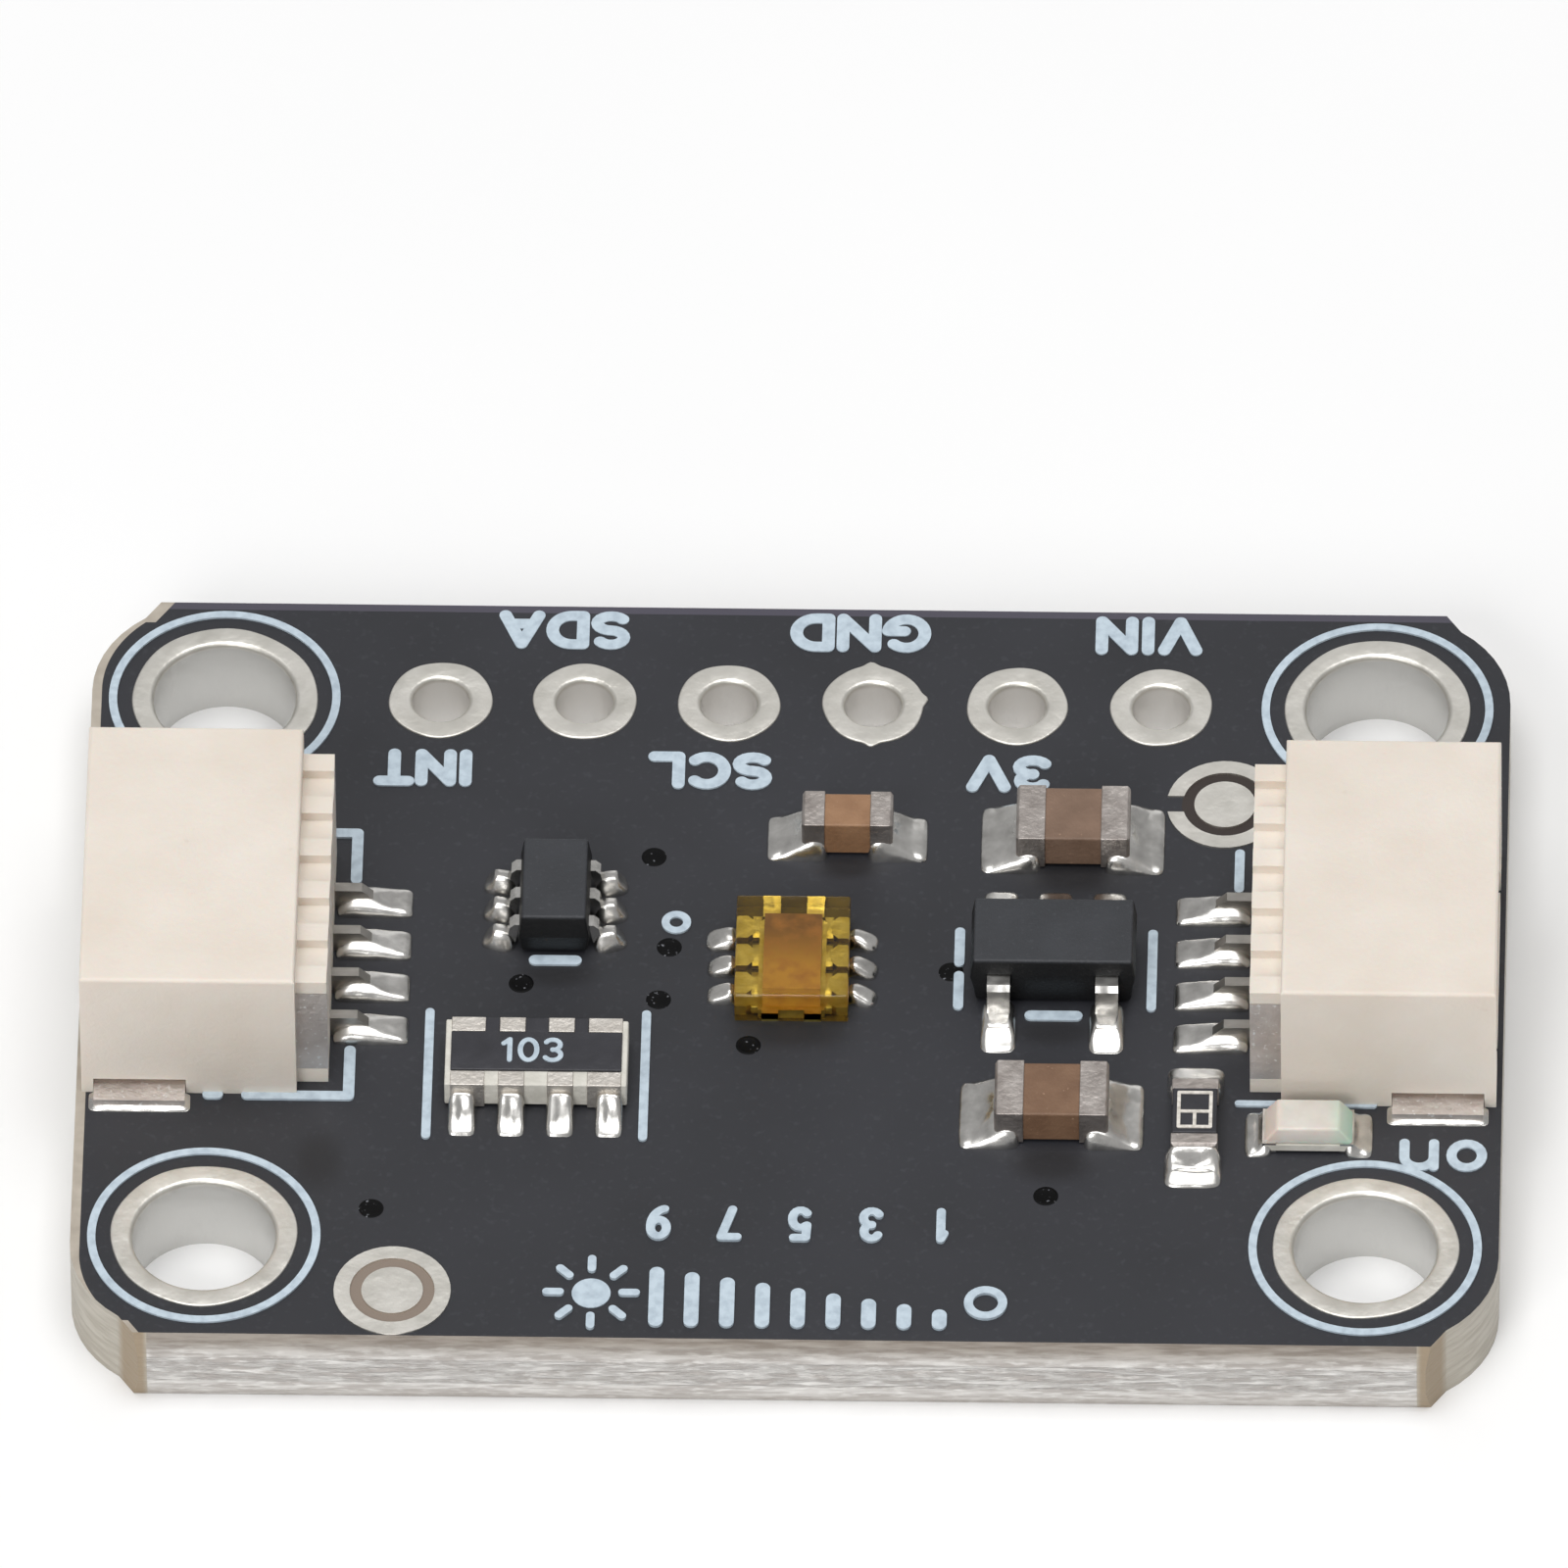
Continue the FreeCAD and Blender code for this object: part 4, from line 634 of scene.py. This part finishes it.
def nylon_finish():
    """Moulded polyamide: matte, warm white, with faint clouds and a skin as fine as 0.1 mm."""
    finish, tree, shader, point = new_finish("ivory_nylon", 0.55)
    shader.inputs["IOR"].default_value = 1.53
    shader.inputs["Subsurface Weight"].default_value = 0.12
    shader.inputs["Subsurface Scale"].default_value = 0.4 * MM
    tone = blend(tree, clouds(tree, point, 1.8, 0.3, 0.7), "#e3d8cb", "#eae1d6")
    stain = clouds(tree, point, 0.5, 0.70, 0.80)
    tone = blend(tree, stain, tone, "#dccfc0")
    tree.links.new(tone, shader.inputs["Base Color"])
    relief(tree, shader, clouds(tree, point, 0.1, 0.2, 0.8), 0.006)
    return finish


def clouded_finish(name, roughness, metallic, tones, skin, **form):
    """A surface with two colours in clouds over an uneven skin. Tones are the clouds' grain and the
    colours, skin is its grain and depth, and form is what else its clouds are given."""
    finish, tree, shader, point = new_finish(name, roughness, metallic)
    tone = blend(tree, clouds(tree, point, tones[0], 0.3, 0.7), *tones[1:])
    tree.links.new(tone, shader.inputs["Base Color"])
    relief(tree, shader, clouds(tree, point, skin[0], 0.2, 0.8, **form), skin[1])
    return finish


def tab_finish():
    """The contacts' bronze under thicker tin: dull, nearly white, speckled every 0.1 mm."""
    finish, tree, shader, point = new_finish("dull_tinned_tabs", 0.55, 1.0)
    tone = blend(tree, clouds(tree, point, 0.5, 0.3, 0.7), "#d6cec9", "#ece6e2")
    tone = blend(tree, clouds(tree, point, 0.1, 0.62, 0.74, detail=1.0), tone, "#fefdfc")
    tree.links.new(tone, shader.inputs["Base Color"])
    relief(tree, shader, clouds(tree, point, 0.12, 0.2, 0.8), 0.01)
    return finish


def mound(
    pad, wet, top, lip=0.05, turn=0.0, crease=0.0, seed=0.0, square=5.0, steep=2.2, edge=8.0
):
    """Solder on a pad, with the pad and the metal that it wets given as x low, x high, y low, y
    high. The outline is a superellipse of the power square, turned by some degrees. With t the
    share of the longest way from the metal to the pad's edge, the height falls from top as (1 - t)
    to the power steep. Towards the rim, which is lip high, it falls as the root of 1 - r to the
    power edge, with r the share of the way from the middle to the outline. On the slope, crease
    presses in a valley along the middle line, and seed shifts a low wave."""
    wave_high, valley_wide, least = 0.07, 0.30, 0.012
    rings, around = 16, 56
    angle = np.linspace(0.0, TAU, around, endpoint=False)[None, :]
    share = np.sin(np.linspace(0.0, np.pi / 2.0, rings))[:, None]
    middle = np.array([pad[0] + pad[1], pad[2] + pad[3]]) / 2.0
    half = np.array([pad[1] - pad[0], pad[3] - pad[2]]) / 2.0
    bend = lambda value: np.sign(value) * np.abs(value) ** (2.0 / square)
    edge_x, edge_y = half[0] * bend(np.cos(angle)), half[1] * bend(np.sin(angle))
    flat_x, flat_y = share * edge_x, share * edge_y
    lean = math.radians(turn)
    x = middle[0] + flat_x * math.cos(lean) - flat_y * math.sin(lean)
    y = middle[1] + flat_x * math.sin(lean) + flat_y * math.cos(lean)
    beside_x = np.maximum(np.maximum(wet[0] - x, x - wet[1]), 0.0)
    beside_y = np.maximum(np.maximum(wet[2] - y, y - wet[3]), 0.0)
    away = np.hypot(beside_x, beside_y)
    longest = max(wet[0] - pad[0], pad[1] - wet[1], wet[2] - pad[2], pad[3] - wet[3])
    t = np.clip(away / longest, 0.0, 1.0)
    height = (top - BOARD_TOP - lip) * (1.0 - t) ** steep * np.sqrt(1.0 - share**edge)
    height = height + lip * np.sqrt(1.0 - share**6)
    wave = np.sin(9.0 * x + 3.0 * seed) * np.sin(8.0 * y + 5.0 * seed)
    on_slope = 4.0 * t * (1.0 - t)
    across = flat_x if half[0] < half[1] else flat_y
    valley = np.exp(-((across / (valley_wide * half.min())) ** 2))
    height = height * (1.0 + wave_high * wave * on_slope) * (1.0 - crease * valley * on_slope)
    z = BOARD_TOP + np.maximum(height, least)
    rim = np.stack([x[-1], y[-1], np.full(around, BOARD_TOP)], -1)[None]
    points = np.concatenate([np.stack([x, y, z], -1), rim])
    faces = [list(f) for f in grid_faces(rings + 1, around, False, True)]
    faces.append([rings * around + i for i in range(around)][::-1])
    return points, faces


def soldered(part, joints):
    """The joints of a part, as one piece that stands for its solder."""
    piece(part + "_joints", joints, solder, [part + "_solder"], 60.0)


def sided(sign, near, far):
    """The low and high end of a span that lies to one side of the middle line."""
    return tuple(sorted((sign * near, sign * far)))


ivory_nylon, tinned_tab = nylon_finish(), tab_finish()
# Stamped phosphor bronze under matte tin, with rolling lines 0.08 mm apart.
bronze_tones, rolled = (0.5, "#aaa6a0", "#cbc7c1"), (0.4, 2.0, 2.0)
tinned_bronze = clouded_finish(
    "tinned_bronze", 0.34, 1.0, bronze_tones, (0.16, 0.006), stretch=rolled
)
# Reflowed tin and silver: bright, with frozen ripples about 0.4 mm long.
solder_tones = (0.4, "#c2c0bc", "#eeece8")
solder = clouded_finish("reflowed_solder", 0.26, 1.0, solder_tones, (0.4, 0.02), detail=1.0)
for side, sign in (("left", -1.0), ("right", 1.0)):
    node = side + "_socket_housing"
    dressed(node, side + "_socket_shell", 0.05, ivory_nylon, 3)
    paint([side + "_socket_contact_%d" % number for number in range(1, 5)], tinned_bronze)
    paint([side + "_socket_%s_solder_tab" % end for end in ("near", "far")], tinned_tab)
    joints = []
    for number, y in enumerate((-1.5, -0.5, 0.5, 1.5)):
        pad = (*sided(sign, 6.70, 8.03), y - 0.33, y + 0.33)
        wet = (*sided(sign, 7.42, 8.03), y - 0.10, y + 0.10)
        joints.append(mound(pad, wet, 1.86, lip=0.12, seed=number + 5.0 * sign, square=9.0))
    for end in (-1.0, 1.0):
        pad = sided(sign, 10.49, 12.27) + sided(end, 3.0, 3.46)
        wet = sided(sign, 10.59, 12.17) + sided(end, 3.0, 3.30)
        joints.append(mound(pad, wet, 1.70, lip=0.06, seed=end, square=8.0))
    soldered(side + "_socket", joints)

# Light sensor
# A silicon die on a gilt lead frame, cast in clear amber epoxy and sawn out of its strip, so light
# falls on the die through the top. It is soldered down by three short leads on each side.
def rounded_block(low, high, radius, steps=4, top_scale=(1.0, 1.0)):
    """A box with round edges: each point is a corner's centre plus the radius times the normal,
    with the normals running over a sphere and doubled between its eight parts. Top_scale narrows
    the upper end."""
    low, high = np.array(low, float), np.array(high, float)
    part = np.linspace(0.0, 90.0, steps + 1)
    angle = np.radians(np.concatenate([part + 90.0 * q for q in range(4)]))
    side_x = np.repeat([1.0, -1.0, -1.0, 1.0], steps + 1)
    side_y = np.repeat([1.0, 1.0, -1.0, -1.0], steps + 1)
    rise = np.radians(np.concatenate([part - 90.0, part]))[:, None]
    side_z = np.repeat([-1.0, 1.0], steps + 1)[:, None]
    middle, core = (low + high) / 2.0, (high - low) / 2.0 - radius
    level = side_z * core[2] + radius * np.sin(rise)
    share = (level / (high[2] - low[2]) + 0.5) * np.ones_like(angle)[None, :]
    x = side_x * core[0] + radius * np.cos(rise) * np.cos(angle)
    y = side_y * core[1] + radius * np.cos(rise) * np.sin(angle)
    x, y = (v * (1.0 + (end - 1.0) * share) for v, end in zip((x, y), top_scale))
    points = np.stack([middle[0] + x, middle[1] + y, middle[2] + level * np.ones_like(x)], -1)
    rows, columns = x.shape
    faces = [list(f) for f in grid_faces(rows, columns, False, True)]
    faces.append(list(range(columns))[::-1])
    faces.append([(rows - 1) * columns + i for i in range(columns)])
    return points, faces


def amber_finish():
    """Clear epoxy with an amber cast, sawn sides and a moulded top: smooth, with an IOR of 1.5."""
    finish, tree, shader, point = new_finish("clear_amber_epoxy", 0.06)
    shader.inputs["IOR"].default_value = 1.5
    shader.inputs["Transmission Weight"].default_value = 1.0
    tone = blend(tree, clouds(tree, point, 0.6, 0.3, 0.7), "#e2d08a", "#eedfa2")
    tree.links.new(tone, shader.inputs["Base Color"])
    relief(tree, shader, clouds(tree, point, 0.3, 0.2, 0.8), 0.004)
    return finish


def die_finish():
    """Silicon under an orange filter coat: glossy, browner towards the far end."""
    finish, tree, shader, point = new_finish("filtered_silicon", 0.28)
    parts = add(tree, "ShaderNodeSeparateXYZ", {}, {0: point}).outputs
    far = add(tree, "ShaderNodeMapRange", {}, {0: parts[1], 1: -0.35, 2: 0.6}).outputs[0]
    tone = blend(tree, far, "#f0b95e", "#a3754a")
    tone = blend(tree, clouds(tree, point, 0.3, 0.45, 0.75), tone, "#d8995a")
    tree.links.new(tone, shader.inputs["Base Color"])
    return finish


# Gold flashed copper, etched: satin, yellow, uneven every 0.2 mm.
gilt_copper = clouded_finish("gilt_copper", 0.35, 1.0, (0.25, "#dcc25a", "#f3e08e"), (0.2, 0.01))
paint(["sensor_lead_frame"], gilt_copper)
paint(["sensor_die"], die_finish())
# The leads run on to the paddle under the die, where a thin skin of metal still joins them.
LEAD_ROWS = (-0.60, 0.05, 0.70)
tips = []
for y in LEAD_ROWS:
    for inner in (-0.70, 0.54):
        ends = (inner, y - 0.25, 1.63), (inner + 0.16, y + 0.25, 1.796)
        tips.append(rounded_block(*ends, 0.01, 2))
piece("sensor_lead_tips", tips, gilt_copper)
low, high = (np.array(v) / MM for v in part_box("sensor_package"))
# The casting reaches 0.005 mm into the mask, so that no layer of air lies between the two.
low[2] -= 0.005
piece(
    "sensor_casting",
    [rounded_block(low, high, 0.05)],
    amber_finish(),
    ["sensor_package"],
)
# Each joint is a low dome. The one at the far left is a little wider, and those on the right lean.
DOME = {"lip": 0.10, "square": 3.2, "edge": 2.2}
joints = []
for sign in (-1.0, 1.0):
    for number, y in enumerate(LEAD_ROWS):
        ends = sided(sign, 0.93, 1.50)
        grow = 0.04 if sign < 0.0 and number == 2 else 0.0
        pad = (ends[0] - grow, ends[1], y - 0.21 - grow, y + 0.21 + grow)
        wet = (*sided(sign, 0.98, 1.08), y - 0.14, y + 0.14)
        lean = 0.0 if sign < 0.0 else -14.0
        joints.append(mound(pad, wet, 1.88, turn=lean, seed=number + sign, steep=1.0, **DOME))
soldered("sensor", joints)

# Voltage regulator and level shifter
# Two black epoxy packages moulded round bent tinned leads: five leads in two rows along the
# regulator's long sides, and three on each side of the shifter. Solder wets the leads all over.
def epoxy_finish(name, top):
    """Moulding compound, filled with silica: matte charcoal on top, where the mould is eroded for
    the marking, and painted nearly black on the sides as shade. Its skin is as fine as 0.06 mm."""
    finish, tree, shader, point = new_finish(name, 0.5)
    tone = blend(tree, clouds(tree, point, 0.8, 0.3, 0.7), "#2d2f33", "#35373c")
    grit = clouds(tree, point, 0.08, 0.62, 0.8, detail=1.0)
    tone = blend(tree, grit, tone, "#3e4045")
    height = add(tree, "ShaderNodeSeparateXYZ", {}, {0: point}).outputs[2]
    limits = {0: height, 1: top - 0.02, 2: top - 0.07}
    painted_side_shade = add(tree, "ShaderNodeMapRange", {}, limits).outputs[0]
    # Painted shade: below the top edge the sides turn nearly black.
    tree.links.new(blend(tree, painted_side_shade, tone, "#0e0f11"), shader.inputs["Base Color"])
    relief(tree, shader, clouds(tree, point, 0.06, 0.2, 0.8), 0.006)
    return finish


for chip, top in (("regulator", 2.72), ("shifter", 2.55)):
    black_epoxy = epoxy_finish(chip + "_moulding_epoxy", top)
    dressed(chip + "_body", chip + "_moulding", 0.04, black_epoxy)
    paint([chip + "_leads"], solder)
joints = []
for leads, pad_rows, wet_rows in (
    ((3.636, 5.536), (-1.85, -0.70), (-1.36, -0.80)),
    ((3.636, 4.586, 5.536), (0.87, 1.94), (0.95, 1.50)),
):
    for x in leads:
        pad, wet = (x - 0.32, x + 0.32, *pad_rows), (x - 0.2, x + 0.2, *wet_rows)
        joints.append(mound(pad, wet, 1.80, lip=0.07, seed=x))
soldered("regulator", joints)
joints = []
for sign, foot_x in ((-1.0, -5.264), (1.0, -3.134)):
    for number, y in enumerate((0.68, 1.33, 1.98)):
        ends = sorted((foot_x + sign * 0.20, foot_x - sign * 0.40))
        foot = sorted((foot_x, foot_x - sign * 0.30))
        pad, wet = (*ends, y - 0.26, y + 0.22), (*foot, y - 0.12, y + 0.12)
        joints.append(mound(pad, wet, 1.94, turn=14.0 * sign, seed=number, steep=1.2, **DOME))
soldered("shifter", joints)

# Resistor array
# Four resistors in one alumina block, 3.2 by 1.6 mm, with eight wrapped tin terminals and a black
# glass coat over the resistive film, printed with its value code.
def lifted(paths, width, top):
    """Printed strokes on a face at the given height."""
    shells = [stroke(path, width, level) for level, path in enumerate(paths)]
    for points, _ in shells:
        points[..., 2] += top - BOARD_TOP
    return shells


# Pressed and fired alumina: matte, chalky white with grains about 0.08 mm wide.
alumina_tones = (0.3, "#cfccc2", "#e6e3da")
fired_alumina = clouded_finish("fired_alumina", 0.6, 0.0, alumina_tones, (0.08, 0.008))
# Printed and fired glass paste: satin black, slightly wavy.
glass_tones = (0.5, "#2b2b30", "#35353b")
glass_coat = clouded_finish("black_glass_coat", 0.4, 0.0, glass_tones, (0.25, 0.01))
# Barrel plated tin on fired silver caps: dull, pitted every 0.1 mm, greyer on the single chips.
tin_pits = (0.1, 0.012)
tin_caps = clouded_finish("dull_tin_caps", 0.5, 1.0, (0.35, "#a59d98", "#c9c2bd"), tin_pits)
array_caps = clouded_finish("matte_tin_wraps", 0.5, 1.0, (0.35, "#dbd5cd", "#efeae3"), tin_pits)
dressed("resistor_array_body", "resistor_array_block", 0.03, fired_alumina)
dressed("resistor_array_terminals", "resistor_array_caps", 0.03, array_caps)
# Between the terminals of the far row the glass runs on into the notches of the block.
glass = [rounded_block((-5.93, -2.92, 2.17), (-2.93, -2.02, 2.23), 0.02)]
for start, end in ((-5.33, -5.09), (-4.63, -4.23), (-3.77, -3.53)):
    glass.append(rounded_block((start, -2.06, 2.17), (end, -1.70, 2.228), 0.02))
piece("resistor_array_glass", glass, glass_coat, ["resistor_array_coat"])
joints = []
for x in (-5.72, -4.86, -4.00, -3.14):
    pad, wet = (x - 0.25, x + 0.25, -3.94, -3.20), (x - 0.2, x + 0.2, -3.33, -3.1)
    joints.append(mound(pad, wet, 2.06, lip=0.07, crease=0.12, seed=x, steep=1.5))
    pad, wet = (x - 0.25, x + 0.25, -1.74, -1.20), (x - 0.2, x + 0.2, -1.8, -1.67)
    joints.append(mound(pad, wet, 1.90, seed=x))
soldered("resistor_array", joints)
COAT_TOP, CODE_WIDTH = 2.23, 0.09
code = words("103", (-5.05, -3.95, -2.75, -2.18), CODE_WIDTH, turned_round=False)
code_strokes = lifted(code, CODE_WIDTH, COAT_TOP)
piece("resistor_value_code", code_strokes, ink_finish())

# Ceramic capacitors
# Stacks of thin barium titanate and nickel layers, fired into a brown block, dipped in silver paste
# at both ends and plated with tin. They stand in a concave fillet of solder at each end.
def ceramic_finish(name, dark, light):
    """Fired titanate: matte brown, with faint grains 0.08 mm wide and a few lighter specks."""
    finish, tree, shader, point = new_finish(name, 0.5)
    tone = blend(tree, clouds(tree, point, 0.5, 0.3, 0.7), dark, light)
    specks = clouds(tree, point, 0.07, 0.72, 0.9, detail=1.0)
    tree.links.new(blend(tree, specks, tone, "#b9987e"), shader.inputs["Base Color"])
    relief(tree, shader, clouds(tree, point, 0.08, 0.2, 0.8), 0.008)
    return finish


def chip_joints(chip, low_x, high_x, low_y, high_y, left, right, top):
    """Two fillets at the ends of a chip that lies along X: the pads reach from the box's ends to
    under the terminals, whose outer faces stand at left and right."""
    cap, rows = 0.45, (low_y + 0.1, high_y - 0.1)
    pads = (
        ((low_x, left + cap, low_y, high_y), (left, left + cap, *rows)),
        ((right - cap, high_x, low_y, high_y), (right - cap, right, *rows)),
    )
    joints = [
        mound(pad, wet, top, lip=0.10, seed=low_x + number, square=9.0, steep=3.0)
        for number, (pad, wet) in enumerate(pads)
    ]
    soldered(chip, joints)


for chip, dark, light in (
    ("far_capacitor", "#755d4c", "#866c5a"),
    ("near_capacitor", "#73553f", "#86674f"),
    ("small_capacitor", "#8f6a4c", "#a17b5b"),
):
    brown = ceramic_finish(chip + "_titanate", dark, light)
    dressed(chip + "_body", chip + "_block", 0.04, brown)
    dressed(chip + "_terminals", chip + "_caps", 0.09, tin_caps, 3)
chip_joints("far_capacitor", 3.24, 6.48, 2.38, 3.94, 3.87, 5.87, 1.98)
chip_joints("near_capacitor", 2.99, 6.24, -4.12, -2.56, 3.62, 5.62, 1.98)
chip_joints("small_capacitor", -0.52, 2.31, 2.62, 3.66, 0.10, 1.70, 2.02)

# Resistor of the indicator lamp
# A chip resistor, 1.6 by 0.8 mm, that lies across the board: an alumina block with tin caps, and a
# black glass coat that carries a small printed frame.
def cream_finish():
    """Fired marking ink: matte cream, worn thin in places."""
    finish, tree, shader, point = new_finish("cream_marking_ink", 0.6)
    tone = blend(tree, clouds(tree, point, 0.1, 0.3, 0.6), "#c4beb4", "#eae5dd")
    tree.links.new(tone, shader.inputs["Base Color"])
    return finish


dressed("led_resistor_body", "led_resistor_block", 0.03, fired_alumina)
dressed("led_resistor_terminals", "led_resistor_caps", 0.05, tin_caps)
dressed("led_resistor_coat", "led_resistor_glass", 0.02, glass_coat)
far_pad, far_wet = (6.63, 7.63, -2.95, -2.16), (6.74, 7.52, -2.95, -2.81)
near_pad, near_wet = (6.60, 7.62, -4.98, -4.20), (6.74, 7.52, -4.42, -4.20)
joints = [
    mound(far_pad, far_wet, 2.02, crease=0.1, seed=1.0),
    mound(near_pad, near_wet, 2.04, lip=0.08, crease=0.5, seed=2.0, steep=1.7),
]
soldered("led_resistor", joints)
# A frame with a bar across it, and a short bar from there to its near side.
FRAME_TOP, FRAME_WIDTH = 2.1, 0.062
frame_lines = [line((6.85, y), (7.41, y)) for y in (-3.18, -3.62, -3.98)]
frame_lines += [line((x, -3.18), (x, -3.98)) for x in (6.85, 7.41)]
frame_lines.append(line((7.13, -3.62), (7.13, -3.98)))
frame_strokes = lifted(frame_lines, FRAME_WIDTH, FRAME_TOP)
piece("led_resistor_frame", frame_strokes, cream_finish())

# Indicator lamp
# A light emitting die on a thin laminate base with gilt ends, cast over with milky resin whose ends
# slope. The resin lets a little of the green polarity mark beneath it show.
def resin_finish():
    """Milky epoxy: half clear, satin, greenish at the right hand end and pink at the left."""
    finish, tree, shader, point = new_finish("milky_resin", 0.3)
    shader.inputs["Subsurface Weight"].default_value = 0.4
    shader.inputs["Subsurface Scale"].default_value = 0.3 * MM
    parts = add(tree, "ShaderNodeSeparateXYZ", {}, {0: point}).outputs
    right = add(tree, "ShaderNodeMapRange", {}, {0: parts[0], 1: 9.45, 2: 9.95}).outputs[0]
    left = add(tree, "ShaderNodeMapRange", {}, {0: parts[0], 1: 8.70, 2: 8.40}).outputs[0]
    tone = blend(tree, clouds(tree, point, 0.4, 0.3, 0.7), "#d2cdc5", "#dfdbd3")
    tone = blend(tree, right, tone, "#b9dcc6")
    tone = blend(tree, left, tone, "#e6d2c6")
    tree.links.new(tone, shader.inputs["Base Color"])
    return finish


paint(["led_base"], fired_alumina)
paint(["led_terminals"], solder)
piece(
    "led_casting",
    [rounded_block((8.32, -4.11, 1.815), (9.92, -3.33, 2.18), 0.05, 4, (0.68, 0.92))],
    resin_finish(),
    ["led_lens"],
)
joints = [
    mound((*pad, -4.24, -3.20), (*wet, -4.10, -3.34), 1.84, lip=0.08, crease=0.3, seed=seed)
    for pad, wet, seed in (((8.00, 8.50), (8.34, 8.50), 3.0), ((9.74, 10.26), (9.74, 9.90), 4.0))
]
soldered("led", joints)

# Table, light and camera
# A plain white sheet under the board, lit by one wide soft box overhead, one from behind and one
# beside the camera, and photographed with a long lens from above the near edge.
def paper_finish():
    """Matte white paper board, with hardly visible clouds."""
    finish, tree, shader, point = new_finish("white_paper", 0.9)
    tone = blend(tree, clouds(tree, point, 25.0, 0.3, 0.7), "#fbfbfb", "#fefefe")
    tree.links.new(tone, shader.inputs["Base Color"])
    return finish


reach = 2.0  # metres
floor_mesh = bpy.data.meshes.new("table")
floor_mesh.from_pydata(
    [(reach * x, reach * y, 0.0) for x, y in ((-1, -1), (1, -1), (1, 1), (-1, 1))],
    [],
    [(0, 1, 2, 3)],
)
floor_mesh.materials.append(paper_finish())
table = bpy.data.objects.new("table", floor_mesh)
bpy.context.scene.collection.objects.link(table)

ROOM_LIGHT = 0.38
world = bpy.data.worlds.new("studio")
world.use_nodes = True
world.node_tree.nodes["Background"].inputs[0].default_value = (1.0, 1.0, 1.0, 1.0)
world.node_tree.nodes["Background"].inputs[1].default_value = ROOM_LIGHT
bpy.context.scene.world = world

for name, place, size, power in (
    ("overhead_soft_box", (0.0, -0.02, 0.30), 0.22, 0.50),
    ("back_soft_box", (0.05, 0.34, 0.14), 0.20, 0.06),
    ("front_soft_box", (-0.12, -0.30, 0.22), 0.16, 0.45),
):
    light = bpy.data.lights.new(name, "AREA")
    light.shape = "SQUARE"
    light.size = size
    light.energy = power
    lamp = bpy.data.objects.new(name, light)
    bpy.context.scene.collection.objects.link(lamp)
    lamp.location = place
    toward = -np.array(place) / np.linalg.norm(place)
    lamp.rotation_euler = Vector(toward).to_track_quat("-Z", "Y").to_euler()

# The camera's direction, its distance and shift in millimetres, and its scale at the board.
ELEVATION, SWING, ROLL = math.radians(47.881), math.radians(1.922), math.radians(-0.8008)
DISTANCE, SHIFT_RIGHT, SHIFT_UP, SENSOR = 1158.6, -0.168, 4.382, 36.0
PIXELS_PER_MM, FRAME_PIXELS = 58.0613, 1600.0
level = np.array([math.cos(SWING), math.sin(SWING), 0.0])
away = np.array([-math.sin(SWING), math.cos(SWING), 0.0])
back = np.array([0.0, 0.0, math.sin(ELEVATION)]) - away * math.cos(ELEVATION)
upright = np.cross(back, level)
right = level * math.cos(ROLL) + upright * math.sin(ROLL)
up = -level * math.sin(ROLL) + upright * math.cos(ROLL)
place = back * DISTANCE + SHIFT_RIGHT * right + SHIFT_UP * up
camera_data = bpy.data.cameras.new("camera")
camera_data.sensor_width = SENSOR
camera_data.lens = SENSOR * PIXELS_PER_MM * DISTANCE / FRAME_PIXELS
camera_data.clip_start = 0.1
camera_data.clip_end = 10.0
camera = bpy.data.objects.new("camera", camera_data)
bpy.context.scene.collection.objects.link(camera)
pose = np.eye(4)
pose[:3, 0], pose[:3, 1], pose[:3, 2], pose[:3, 3] = right, up, back, place * MM
camera.matrix_world = Matrix(pose.tolist())
bpy.context.scene.camera = camera
bpy.context.scene.view_settings.view_transform = "Standard"
